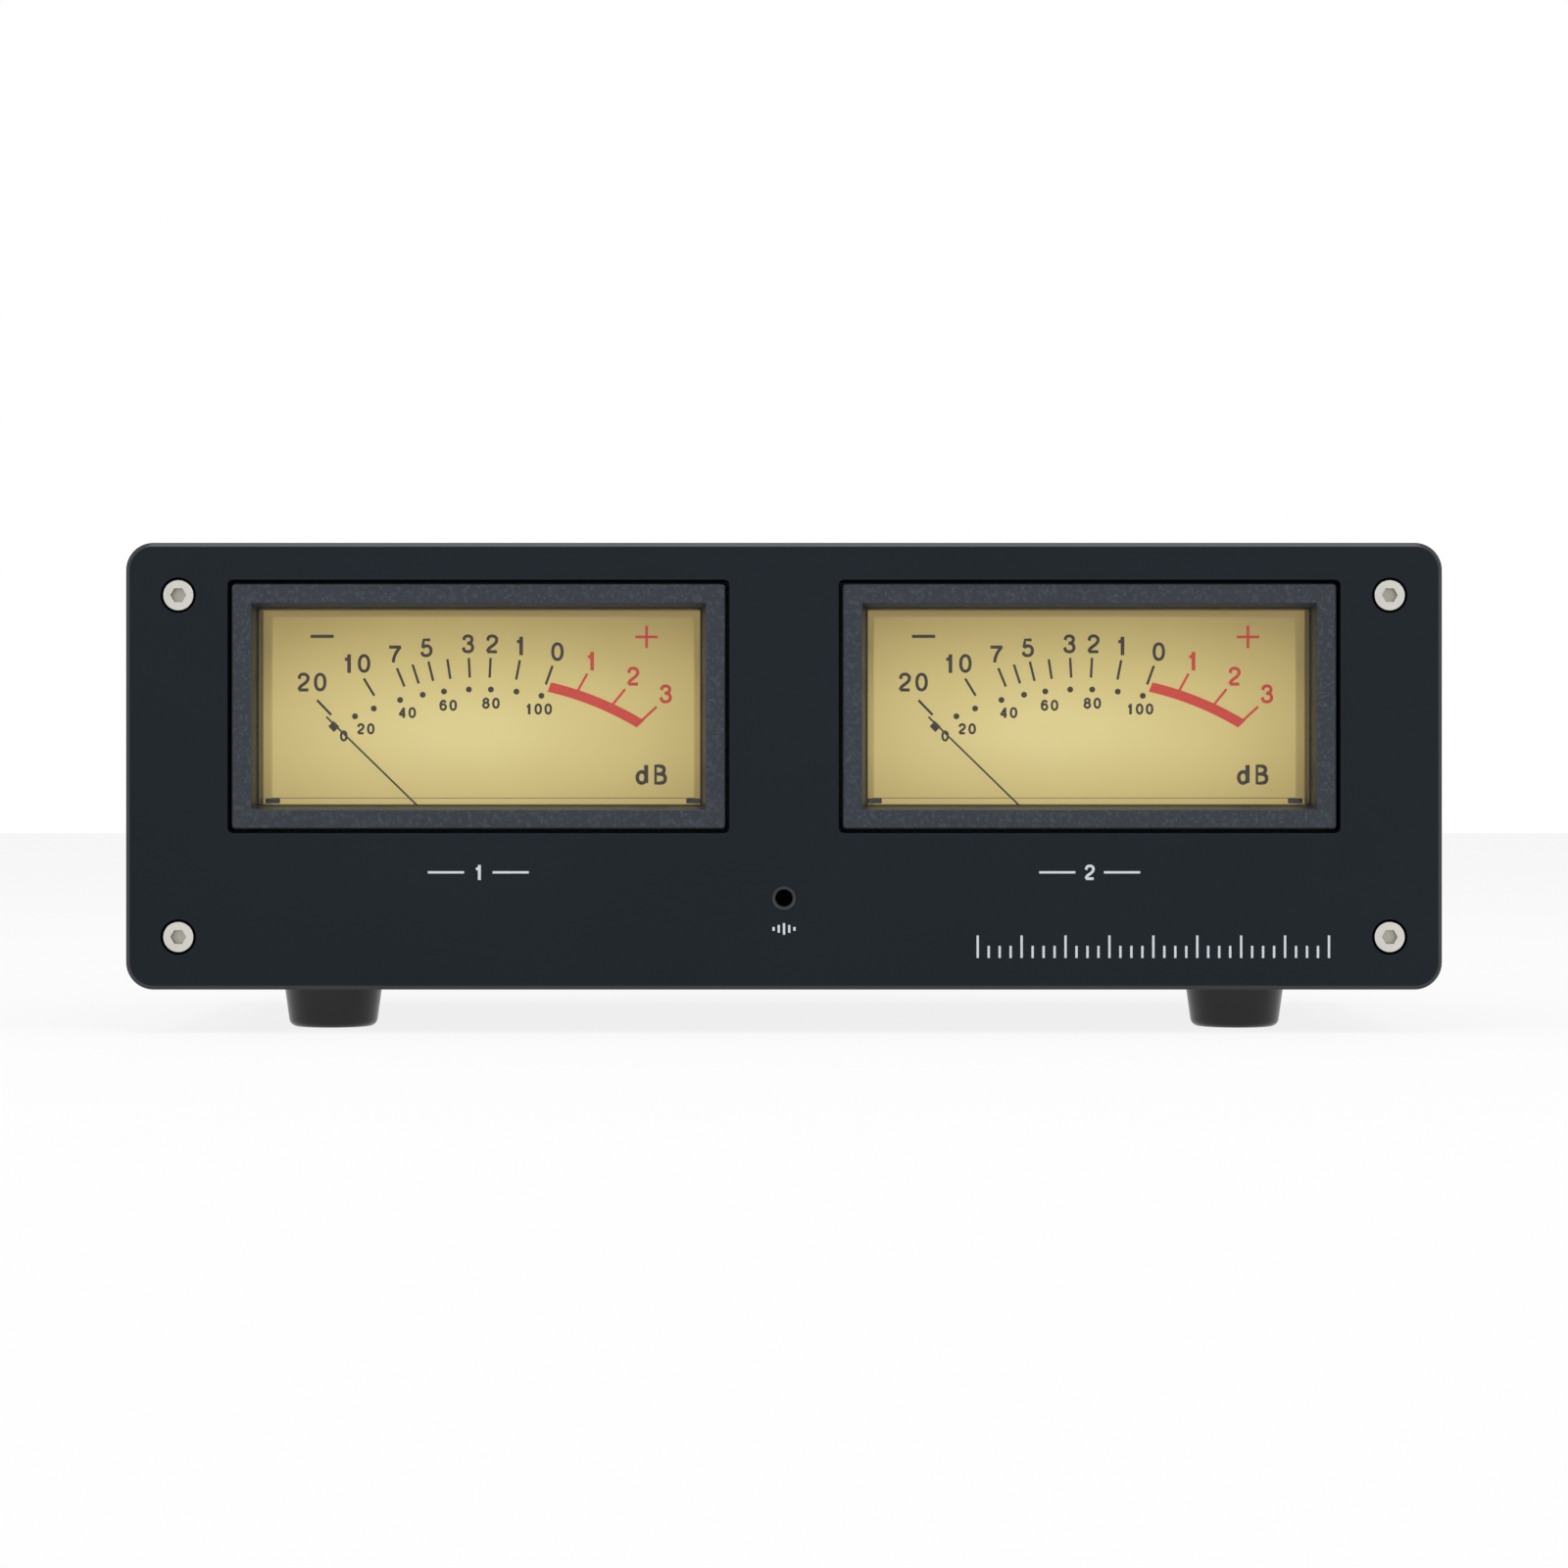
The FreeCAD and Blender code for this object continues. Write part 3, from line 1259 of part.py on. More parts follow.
def lead(points):
    """One round lead: straight runs joined by tangent arcs."""
    points = [Vector(*[length(value).number for value in point]) for point in points]
    edges = []
    start = points[0]
    for before, here, after in zip(points, points[1:], points[2:]):
        back = (before - here).normalize()
        ahead = (after - here).normalize()
        shorter = min((before - here).Length, (after - here).Length)
        cut = BEND_SHARE * shorter
        first = here + back * cut
        last = here + ahead * cut
        bisector = (back + ahead).normalize()
        turn = (first - here).getAngle(bisector)
        radius_line = cut / (bisector.dot(back))
        radius = (first - (here + bisector * radius_line)).Length
        middle = here + bisector * (radius_line - radius)
        if (first - start).Length > TINY:
            edges.append(Part.makeLine(start, first))
        edges.append(Part.Arc(first, middle, last).toShape())
        start = last
    edges.append(Part.makeLine(start, points[-1]))
    path = Part.Wire(edges)
    ahead = (points[1] - points[0]).normalize()
    ring = Part.Wire(Part.makeCircle(size.lead_diameter.number / 2, points[0], ahead))
    return path.makePipeShell([ring], True, False)


def wiring_harness():
    """Leads from the driver board to the two meters and the microphone."""
    board_top = plate_floor + size.standoff_height + size.driver_thickness
    front_edge = size.board_depth + size.board_inset
    socket = front_edge + size.lead_edge
    leads = []
    for side in (-1, 1):
        x = side * meter_side
        inset = side * size.lead_inset
        leads.append(lead([
            (x - inset, socket, board_top), (x - inset, socket, board_top + size.lead_rise),
            (x - inset / 2, front_edge - size.lead_edge, board_top + size.lead_turn),
            (x, size.case_depth + size.lead_slack, board_top + size.lead_top),
            (x, size.case_depth, board_top + size.lead_top)]))
    mic_level = panel_middle - mic_drop
    mic_back = size.mic_web + size.mic_capsule_length
    run, lift = size.mic_lead_run, size.mic_lead_lift
    leads.append(lead([
        (0, mic_back, mic_level), (0, mic_back + run, mic_level),
        (size.mic_lead_side / 2, mic_back + 2 * run, mic_level + lift),
        (size.mic_lead_side * 0.75, front_edge - size.lead_edge, board_top + 2 * lift),
        (size.mic_lead_side, socket, board_top + 1.5 * lift), (size.mic_lead_side, socket, board_top)]))
    feature = document.addObject("Part::Feature", "wiring_harness")
    feature.Label = "wiring_harness"
    feature.Shape = Part.makeCompound(leads)
    feature.Placement = Placement(Vector(0, 0, 0), Rotation())
    bind(feature, "Placement.Base.y", front)
    nodes.append(feature)


def controls():
    """Everything on the rear panel."""
    input_jack("left_input_jack", -jack_side)
    input_jack("right_input_jack", -jack_side + size.jack_pitch)
    power_inlet()
    power_switch()
    power_lever()
    gain_control()


enclosure()
feet()
meters()
electronics()
controls()
wiring_harness()
document.recompute()

for item in document.Objects:
    if "Invalid" in item.State or "Error" in item.State:
        raise ValueError(f"{item.Name} ({item.Label}) is {item.State}")
for node in nodes:
    if node.Shape.isNull() or not node.Shape.isValid():
        raise ValueError(f"{node.Label} has no valid shape")
    if node.TypeId == "PartDesign::Body" and not node.AllowCompound and len(node.Shape.Solids) != 1:
        raise ValueError(f"{node.Label} has {len(node.Shape.Solids)} solids")

os.makedirs("parts", exist_ok=True)
for node in nodes:
    node.Shape.exportStep(f"parts/{node.Label}.step")
    box = node.Shape.BoundBox
    print(f"{node.Label}: {len(node.Shape.Solids)} solids, {node.Shape.Volume:.1f} mm3, "
          f"x {box.XMin:.2f} {box.XMax:.2f}, y {box.YMin:.2f} {box.YMax:.2f}, "
          f"z {box.ZMin:.2f} {box.ZMax:.2f}")
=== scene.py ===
# %% [markdown]
# A desktop level meter with two needle dials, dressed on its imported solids.
# The solids give every place and size. This script adds the finishes, the print
# and the finer pieces, and each of them rides on a solid's body, so that it
# follows when a needle, the switch or the knob moves.

import math

import bmesh
import bpy
from mathutils import Matrix, Vector


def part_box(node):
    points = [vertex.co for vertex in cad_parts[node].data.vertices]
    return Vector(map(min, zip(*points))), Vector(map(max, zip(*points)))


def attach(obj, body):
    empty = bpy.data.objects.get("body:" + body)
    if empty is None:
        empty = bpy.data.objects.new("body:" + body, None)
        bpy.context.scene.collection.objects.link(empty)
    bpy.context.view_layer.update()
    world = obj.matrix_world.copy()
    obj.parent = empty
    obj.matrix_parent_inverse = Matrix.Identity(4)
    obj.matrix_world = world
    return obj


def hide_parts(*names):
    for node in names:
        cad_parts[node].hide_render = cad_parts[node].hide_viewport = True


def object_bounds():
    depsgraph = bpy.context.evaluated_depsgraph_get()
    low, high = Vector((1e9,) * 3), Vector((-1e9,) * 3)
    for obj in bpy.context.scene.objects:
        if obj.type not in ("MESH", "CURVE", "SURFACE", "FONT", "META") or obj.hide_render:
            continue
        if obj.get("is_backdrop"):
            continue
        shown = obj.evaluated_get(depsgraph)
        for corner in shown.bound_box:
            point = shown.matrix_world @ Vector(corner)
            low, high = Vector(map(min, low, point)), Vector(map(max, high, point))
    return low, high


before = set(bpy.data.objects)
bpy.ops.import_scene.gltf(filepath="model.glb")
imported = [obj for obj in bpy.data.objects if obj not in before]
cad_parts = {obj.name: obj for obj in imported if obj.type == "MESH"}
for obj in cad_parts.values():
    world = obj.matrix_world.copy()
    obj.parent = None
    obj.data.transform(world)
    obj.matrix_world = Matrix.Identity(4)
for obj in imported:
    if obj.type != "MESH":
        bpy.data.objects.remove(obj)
frame_low, frame_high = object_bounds()
print("the solids span", [round(v * 1000, 1) for v in frame_high - frame_low], "mm")

# %% [markdown]
# The part is drawn in millimetres and Blender works in metres, so one number
# turns the first into the second. A node's box gives the corners of a piece at
# rest, which is how the script finds a place without repeating it.

# %% Sizes and places
MM = 0.001


def mm(x, y, z):
    """A point given in millimetres."""
    return Vector((x, y, z)) * MM


def middle(node):
    """The middle of a node's box."""
    low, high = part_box(node)
    return (low + high) / 2


SIDES = ("left", "right")
panel_low, panel_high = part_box("front_panel")
dial_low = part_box("left_dial")[0]
print("the panel's front is at", round(panel_low.y / MM, 2), "mm")

# %% [markdown]
# The camera stands straight in front of the panel, level with its middle. The
# picture was taken from about three quarters of a metre with a short telephoto,
# which is why the sides of the box stay hidden behind the front panel. Its two
# numbers are the focal length and the distance that give the panel its width.

# %% Camera
CAMERA_DISTANCE = 0.750
CAMERA_HEIGHT = 0.0455
FOCAL_LENGTH, SENSOR_WIDTH = 94.5, 36
bpy.ops.object.camera_add(
    location=(0, panel_low.y - CAMERA_DISTANCE, CAMERA_HEIGHT),
    rotation=(math.radians(90), 0, 0),
)
camera = bpy.context.object
camera.name = "camera"
camera.data.lens = FOCAL_LENGTH
camera.data.sensor_width = SENSOR_WIDTH
camera.data.clip_start = 0.01
camera.data.dof.use_dof = False
bpy.context.scene.camera = camera
bpy.context.scene.view_settings.view_transform = "Standard"
print("the camera stands", CAMERA_DISTANCE, "m from the panel")

# %% [markdown]
# A finish is a small tree of nodes. Writing each sum as a Python expression
# keeps it readable: Tone wraps one socket, and adding or multiplying two of
# them puts the Math node in place. Any other node comes from its node method.

# %% Shader sums
class Tone:
    """One socket of a material, which can be used in sums."""

    def __init__(self, tree, socket):
        self.tree = tree
        self.socket = socket

    def node(self, kind, settings, inputs, output=0):
        """A new node with its settings made, and its sockets set or linked."""
        made = self.tree.nodes.new(kind)
        for name, value in settings.items():
            if name == "stops":
                stops = made.color_ramp.elements
                while len(stops) < len(value):
                    stops.new(0.5)
                for stop, (place, colour) in zip(stops, value):
                    stop.position = place
                    stop.color = (*colour, 1)
            else:
                setattr(made, name, value)
        for name, value in inputs.items():
            if isinstance(value, Tone):
                self.tree.links.new(value.socket, made.inputs[name])
            else:
                made.inputs[name].default_value = value
        return Tone(self.tree, made.outputs[output])

    def sum(self, operation, first, second):
        """A Math node on two numbers or sockets."""
        return self.node("ShaderNodeMath", {"operation": operation}, {0: first, 1: second})

    def __add__(self, other):
        return self.sum("ADD", self, other)

    def __sub__(self, other):
        return self.sum("SUBTRACT", self, other)

    def __rsub__(self, other):
        return self.sum("SUBTRACT", other, self)

    def __mul__(self, other):
        return self.sum("MULTIPLY", self, other)

    def __lt__(self, other):
        return self.sum("LESS_THAN", self, other)

    __radd__ = __add__
    __rmul__ = __mul__


print("shader sums are ready")

# %% [markdown]
# Every finish starts from the same shader, and differs in what drives its
# colour, its roughness and its bump. Colours are written as seen on a screen, in
# eight bits, and turned into the linear values that the shader works in.

# %% Starting a finish
def seen(red, green, blue):
    """A colour as read from a screen, made linear."""
    return tuple(
        v / 12.92 if v <= 0.04045 else ((v + 0.055) / 1.055) ** 2.4
        for v in (red / 255, green / 255, blue / 255)
    )


class Finish:
    """A material with one principled shader, and the tools to drive it."""

    def __init__(self, name, **fixed):
        self.material = bpy.data.materials.new(name)
        self.material.use_nodes = True
        self.tree = self.material.node_tree
        self.shader = self.tree.nodes["Principled BSDF"]
        self.node = Tone(self.tree, None).node
        for socket, value in fixed.items():
            self.shader.inputs[socket.replace("_", " ")].default_value = value
        self.place = self.node("ShaderNodeTexCoord", {}, {}, "Object")

    def stretched(self, x, y, z):
        """The object's coordinates, scaled by axis."""
        return self.node("ShaderNodeMapping", {}, {"Vector": self.place, "Scale": (x, y, z)})

    def noise(self, per_metre, detail=4.0, roughness=0.6, where=None):
        """A cloud of grey with so many grains in a metre."""
        inputs = {
            "Vector": where or self.place,
            "Scale": per_metre,
            "Detail": detail,
            "Roughness": roughness,
        }
        return self.node("ShaderNodeTexNoise", {}, inputs)

    def cells(self, per_metre, where=None):
        """The distance to the nearest of many scattered points."""
        inputs = {"Vector": where or self.place, "Scale": per_metre}
        return self.node("ShaderNodeTexVoronoi", {}, inputs)

    def ramp(self, value, *stops):
        """A value turned into a colour by stops of (place, colour)."""
        return self.node("ShaderNodeValToRGB", {"stops": stops}, {"Fac": value})

    def blend(self, share, first, second):
        """Two colours, each linear numbers or a socket, mixed by a share."""
        inputs = {0: share}
        for socket, colour in ((6, first), (7, second)):
            inputs[socket] = colour if isinstance(colour, Tone) else (*colour, 1)
        return self.node("ShaderNodeMix", {"data_type": "RGBA"}, inputs, 2)

    def drive(self, socket, value):
        """Links a value to one socket of the shader."""
        self.tree.links.new(value.socket, self.shader.inputs[socket])

    def bump(self, height, distance):
        """Raises the surface by a height that counts as distance metres."""
        inputs = {"Strength": 1.0, "Distance": distance, "Height": height}
        self.drive("Normal", self.node("ShaderNodeBump", {}, inputs))

    def surface(self, socket):
        """Links a whole surface to the material's output."""
        out = self.tree.nodes["Material Output"]
        self.tree.links.new(socket, out.inputs["Surface"])


def times(colour, share):
    """A colour made darker or lighter by a share."""
    return tuple(min(1.0, v * share) for v in colour)


BLACK, WHITE = (0, 0, 0), (1, 1, 1)
print("a grey of 128 on a screen is", round(seen(128, 128, 128)[0], 3), "in linear light")

# %% [markdown]
# The front panel is a machined aluminium plate with a matt black finish. It is
# almost even, so it only has a very fine grain, a faint cloudiness and a gloss
# that varies with both. The rails, plates and back share a coarser powder coat.

# %% Black finishes
def matt_black(name, colour, grains, depth, roughness):
    """A matt black coat with a fine grain."""
    finish = Finish(name, Specular_IOR_Level=0.1)
    grain = finish.noise(grains, 3.0)
    cloud = finish.noise(24.0, 2.0)
    finish.drive("Base Color", finish.blend(cloud, colour, times(colour, 1.35)))
    finish.drive("Roughness", roughness + 0.16 * (grain - 0.5) + 0.08 * (cloud - 0.5))
    finish.bump(grain, depth)
    return finish.material


panel_black = matt_black("panel_black", seen(24, 30, 36), 5200.0, 0.00002, 0.52)
chassis_black = matt_black("chassis_black", seen(31, 32, 35), 2100.0, 0.00008, 0.62)
print("black finishes:", panel_black.name, chassis_black.name)

# %% [markdown]
# The bezels round the dials are moulded in a dark slate plastic. Its surface was
# spark textured in the mould, and the glints of its small facets are painted as
# lighter specks of its colour. Noise gives the facets and their painted glints, and
# the cells of a Voronoi texture dent them.

# %% Moulded plastics
def moulded(name, colour, grains, depth, roughness, painted_glint, gloss=0.25):
    """A moulded plastic with a spark textured surface and painted glints."""
    finish = Finish(name, Specular_IOR_Level=gloss)
    grain = finish.noise(grains, 4.0, 0.7)
    spots = finish.cells(grains * 0.6)
    glint = finish.ramp(grain, (0.50, BLACK), (0.72, WHITE))
    # Painted glints: the colour is made lighter where the noise is high.
    finish.drive("Base Color", finish.blend(glint, colour, times(colour, painted_glint)))
    finish.drive("Roughness", roughness + 0.2 * (grain - 0.5))
    finish.bump(grain + 0.4 * spots, depth)
    return finish.material


bezel_plastic = moulded("bezel_plastic", seen(48, 53, 60), 1500.0, 0.00008, 0.5, 2.2)
bezel_lip = moulded("bezel_lip", seen(46, 50, 52), 1500.0, 0.000004, 0.3, 1.2, 0.5)
case_plastic = moulded("case_plastic", seen(24, 24, 26), 1800.0, 0.00004, 0.5, 1.3)
component_black = moulded("component_black", seen(22, 22, 23), 3000.0, 0.00002, 0.45, 1.3)
felt_black = moulded("felt_black", seen(12, 13, 14), 9000.0, 0.00008, 0.9, 2.0, 0.05)
knob_black = moulded("knob_black", seen(20, 20, 22), 3200.0, 0.00002, 0.38, 1.25)
print("plastics:", bezel_plastic.name, case_plastic.name)

# %% [markdown]
# The feet are glossy black plastic. A gloss shows what is round it, so the
# finish is little more than a low roughness, a clear coat and faint scuffs.

# %% Gloss black
def gloss_black(name, colour):
    """A polished black plastic with faint scuffs."""
    finish = Finish(name, Coat_Weight=0.1, Coat_Roughness=0.08, Specular_IOR_Level=0.35)
    scuffs = finish.noise(900.0, 6.0, 0.75, finish.stretched(1, 1, 7))
    marks = finish.ramp(scuffs, (0.55, BLACK), (0.75, WHITE))
    finish.drive("Base Color", finish.blend(marks, colour, times(colour, 1.8)))
    finish.drive("Roughness", 0.16 + 0.22 * scuffs)
    finish.bump(scuffs, 0.000004)
    return finish.material


foot_plastic = gloss_black("foot_plastic", seen(10, 12, 14))
print("gloss:", foot_plastic.name)

# %% [markdown]
# The metals differ in colour and in how they were worked. Fine lines come from
# noise that is squeezed along one axis, as a lathe or a belt leaves them, and a
# slow cloud darkens the metal a little where hands and air have been at it.

# %% Metals
TARNISH = 0.75


def metal(name, colour, roughness, lines=(1, 1, 1), grains=2500.0):
    """A worked metal with fine lines and a slow tarnish."""
    finish = Finish(name, Metallic=1.0)
    line = finish.noise(grains, 3.0, 0.6, finish.stretched(*lines))
    cloud = finish.noise(140.0, 3.0)
    finish.drive("Base Color", finish.blend(cloud, times(colour, TARNISH), colour))
    finish.drive("Roughness", roughness + 0.14 * (line - 0.5) + 0.1 * (cloud - 0.5))
    finish.bump(line, 0.000006)
    return finish.material


stainless_steel = metal("stainless_steel", seen(222, 219, 211), 0.3, (1, 8, 1))
shaded_socket_steel = metal("shaded_socket_steel", seen(180, 178, 166), 0.34, (1, 1, 4))
cut_edge = metal("cut_edge", seen(68, 69, 72), 0.34, (1, 5, 1))
soft_iron = metal("soft_iron", seen(122, 120, 118), 0.45, (1, 1, 6))
magnet = metal("magnet", seen(104, 104, 108), 0.38, (1, 6, 1), 1800.0)
brass = metal("brass", seen(196, 162, 96), 0.3, (1, 7, 1))
nickel = metal("nickel", seen(186, 182, 172), 0.22, (1, 7, 1))
spring_bronze = metal("spring_bronze", seen(184, 136, 84), 0.35)
zinc_cast = metal("zinc_cast", seen(146, 147, 150), 0.42, (1, 1, 1), 1400.0)
mic_metal = metal("mic_metal", seen(150, 150, 152), 0.35, (1, 6, 1))
print("metals:", stainless_steel.name, brass.name, nickel.name)

# %% [markdown]
# The coil is wound from enamelled copper wire, whose turns lie side by side
# across its frame. A wave texture gives the turns at a fifth of a millimetre,
# both as ridges and as painted shade in the groove between two of them.

# %% Copper wire, circuit board and needle paint
def wound_wire(name, colour):
    """Turns of enamelled wire, side by side."""
    finish = Finish(name, Metallic=0.85)
    settings = {"wave_type": "BANDS", "bands_direction": "Z"}
    inputs = {"Vector": finish.place, "Scale": 1600.0, "Distortion": 0.4}
    turns = finish.node("ShaderNodeTexWave", settings, inputs)
    # Painted shade: the colour darkens in the grooves between turns.
    finish.drive("Base Color", finish.blend(turns, times(colour, 0.35), colour))
    finish.drive("Roughness", 0.42 - 0.12 * turns)
    finish.bump(turns, 0.00003)
    return finish.material


def circuit_board(name, colour, track):
    """Green lacquer over copper tracks, which run in two directions."""
    finish = Finish(name, Coat_Weight=0.3)
    along = finish.cells(160.0, finish.stretched(1, 0.12, 1))
    across = finish.cells(130.0, finish.stretched(0.15, 1, 1))
    tracks = along.sum("MAXIMUM", along < 0.16, across < 0.14)
    weave = finish.noise(3000.0, 2.0)
    finish.drive("Base Color", finish.blend(tracks, colour, track))
    finish.drive("Roughness", 0.36 + 0.12 * weave)
    finish.bump(tracks + 0.2 * weave, 0.00003)
    return finish.material


def paint(name, colour, roughness):
    """A thin sprayed paint, slightly uneven."""
    finish = Finish(name, Specular_IOR_Level=0.4)
    mist = finish.noise(4000.0, 3.0)
    finish.drive("Base Color", finish.blend(mist, times(colour, 0.7), colour))
    finish.drive("Roughness", roughness + 0.15 * (mist - 0.5))
    finish.bump(mist, 0.00001)
    return finish.material


copper_wire = wound_wire("copper_wire", seen(190, 104, 62))
board_green = circuit_board("board_green", seen(22, 74, 48), seen(46, 108, 70))
needle_brown = paint("needle_brown", seen(48, 34, 16), 0.5)
lead_sleeve = paint("lead_sleeve", seen(150, 34, 30), 0.4)
print("wire, board and paint:", copper_wire.name, board_green.name, needle_brown.name)

# %% [markdown]
# The dials are translucent plates lit by lamps behind them. That light is painted
# as a glow of the dials' own, which gives most of their warm colour. The painted
# glow is strongest low in the middle and falls off to the top corners, which a
# distance from the lamps' place gives. Narrow strips at the top and the sides are
# painted darker still, as painted shade of the bezel. A flat paint would look dead beside
# it.

# %% Dials with a painted glow and painted shade
GLOW_LEFT, GLOW_LOW, GLOW_REACH = 0.004, 0.004, 0.050
SHADE_LOW, SHADE_HIGH = 0.0206, 0.0213
SHADE_NEAR, SHADE_FAR = 0.0389, 0.0393
PAINTED_GLOW, PAINTED = 0.84, 0.2


def lit_dial(name, centre_x, centre_z):
    """A warm plate with a painted glow for its backlight, brightest round the lamps' place,
    and painted shade under the bezel.
    """
    finish = Finish(name, Roughness=0.6, Specular_IOR_Level=0.2, Emission_Strength=1.0)

    def vector(operation, first, second, output=0):
        settings = {"operation": operation}
        return finish.node("ShaderNodeVectorMath", settings, {0: first, 1: second}, output)

    def slope(value, low, high):
        return finish.node("ShaderNodeMapRange", {}, {0: value, 1: low, 2: high})

    def axis(number):
        return finish.node("ShaderNodeSeparateXYZ", {}, {0: finish.place}, number)

    offset = vector("SUBTRACT", finish.place, (centre_x, 0, centre_z))
    squeeze = vector("MULTIPLY", offset, (0.65, 0, 1.8))
    reach = vector("LENGTH", squeeze, (0, 0, 0), "Value")
    cloud = finish.noise(60.0, 2.0)
    fibre = finish.noise(6000.0, 2.0)
    # Painted shade: strips under the bezel's top edge and beside its side edges.
    shade_under_edge = slope(axis(2), centre_z + SHADE_LOW, centre_z + SHADE_HIGH)
    along = axis(0) - (centre_x + GLOW_LEFT)
    shade_beside_edge = slope(along.sum("ABSOLUTE", along, 0.0), SHADE_NEAR, SHADE_FAR)
    share = reach * (1 / GLOW_REACH) + 0.10 * (cloud - 0.5) + 0.05 * (fibre - 0.5)
    share = share + 0.35 * shade_under_edge + 0.3 * shade_beside_edge
    lit = finish.ramp(
        share,
        (0.10, seen(226, 209, 142)),
        (0.45, seen(207, 188, 118)),
        (0.75, seen(181, 160, 92)),
        (1.0, seen(148, 127, 68)),
    )
    # The painted glow: the dial's colour is also given as emission, standing for the
    # backlight.
    finish.drive("Base Color", finish.blend(PAINTED, BLACK, lit))
    finish.drive("Emission Color", finish.blend(PAINTED_GLOW, BLACK, lit))
    finish.drive("Roughness", 0.55 + 0.1 * fibre)
    return finish.material


def ink(name, colour, glow):
    """Printed ink on the dial, with a painted glow for the little backlight that it lets
    through.
    """
    finish = Finish(name, Specular_IOR_Level=0.2, Emission_Strength=1.0)
    mottle = finish.noise(5000.0, 3.0)
    light = times(colour, glow)
    finish.drive("Base Color", finish.blend(mottle, times(colour, 0.85), colour))
    # The emission is a painted glow, standing for backlight that shows through the ink.
    finish.drive("Emission Color", finish.blend(mottle, times(light, 0.9), light))
    finish.drive("Roughness", 0.5 + 0.1 * mottle)
    return finish.material


DIAL_CENTRE = {side: middle(side + "_dial") for side in SIDES}
dial_finish = {
    side: lit_dial(side + "_dial_print", centre.x - GLOW_LEFT, centre.z - GLOW_LOW)
    for side, centre in DIAL_CENTRE.items()
}
brown_ink = ink("brown_ink", seen(46, 33, 10), 0.1)
red_ink = ink("red_ink", seen(200, 52, 36), 0.4)
white_ink = ink("white_ink", seen(222, 225, 230), 0.0)
print("dials and inks:", [m.name for m in dial_finish.values()])

# %% [markdown]
# The clear covers are acrylic trays. Seen straight on they almost vanish, and at
# a slant they shine. A mix of see-through and mirror by Fresnel does that
# without the noise that light bent through real glass would bring.

# %% Clear covers
COVER_TINT = (0.965, 0.965, 0.955, 1)
MOST_SHINE = 0.08


def clear_plastic_finish(name):
    """Clear acrylic that shines at a slant."""
    finish = Finish(name)
    see_through = finish.node("ShaderNodeBsdfTransparent", {}, {"Color": COVER_TINT})
    gloss = {"Roughness": 0.03, "Color": (*WHITE, 1)}
    shine = finish.node("ShaderNodeBsdfGlossy", {}, gloss)
    fresnel = finish.node("ShaderNodeFresnel", {}, {"IOR": 1.49})
    haze = finish.noise(35.0, 3.0)
    share = fresnel.sum("MINIMUM", fresnel * (0.55 + 0.25 * haze), MOST_SHINE)
    mixed = finish.node("ShaderNodeMixShader", {}, {0: share, 1: see_through, 2: shine})
    finish.surface(mixed.socket)
    finish.tree.nodes.remove(finish.shader)
    return finish.material


clear_plastic = clear_plastic_finish("clear_plastic")
print("covers:", clear_plastic.name)

# %% [markdown]
# Each solid keeps the shape that it has, and gets its finish here. The list
# goes by piece, and pieces of one stuff share a finish, so they look alike.

# %% Finishes on the solids
PER_SIDE = {
    "bezel": bezel_plastic,
    "window": clear_plastic,
    "case": case_plastic,
    "backlight_board": board_green,
    "meter_screws": stainless_steel,
    "yoke_ring": soft_iron,
    "core_magnet": magnet,
    "front_bridge": brass,
    "rear_bridge": brass,
    "jewel_screws": brass,
    "zero_lever": brass,
    "coil": copper_wire,
    "staff": stainless_steel,
    "needle": needle_brown,
    "hairsprings": spring_bronze,
}
solid_finish = {
    "front_panel": panel_black,
    "rear_panel": chassis_black,
    "left_side_rail": chassis_black,
    "right_side_rail": chassis_black,
    "top_plate": chassis_black,
    "bottom_plate": chassis_black,
    "front_panel_screws": stainless_steel,
    "rear_panel_screws": stainless_steel,
    "front_left_foot": foot_plastic,
    "front_right_foot": foot_plastic,
    "rear_left_foot": foot_plastic,
    "rear_right_foot": foot_plastic,
    "foot_screws": stainless_steel,
    "driver_board": board_green,
    "board_standoffs": nickel,
    "board_screws": stainless_steel,
    "board_components": component_black,
    "mic_capsule": mic_metal,
    "left_input_jack": nickel,
    "right_input_jack": nickel,
    "power_inlet": component_black,
    "power_switch": nickel,
    "power_lever": nickel,
    "gain_pot": zinc_cast,
    "gain_shaft": nickel,
    "gain_knob": knob_black,
    "wiring_harness": lead_sleeve,
}
for side in SIDES:
    for piece, finish in PER_SIDE.items():
        solid_finish[side + "_" + piece] = finish
    solid_finish[side + "_dial"] = dial_finish[side]


def coat(piece, material):
    """Gives a piece one material."""
    piece.data.materials.clear()
    piece.data.materials.append(material)


for name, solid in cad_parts.items():
    coat(solid, solid_finish[name])
print(len(solid_finish), "solids have a finish, of", len(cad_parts))

# %% [markdown]
# From here on, pieces are modelled as by hand: a primitive is added at its size
# and place, shaped in edit mode, and finished with applied modifiers. A few
# short helpers keep the selecting and joining out of the way of each lesson.

# %% Helpers for modelling
UPRIGHT = math.radians(90)


def rest():
    """Leaves edit mode and selects nothing."""
    if bpy.context.object and bpy.context.object.mode != "OBJECT":
        bpy.ops.object.mode_set(mode="OBJECT")
    bpy.ops.object.select_all(action="DESELECT")


def choose(*pieces):
    """Selects these pieces only, the last of them active."""
    rest()
    for piece in pieces:
        piece.select_set(True)
    bpy.context.view_layer.objects.active = pieces[-1]


def settle(piece):
    """Moves a piece's place, turn and scale into its mesh."""
    choose(piece)
    bpy.ops.object.transform_apply(location=True, rotation=True, scale=True)
    return piece


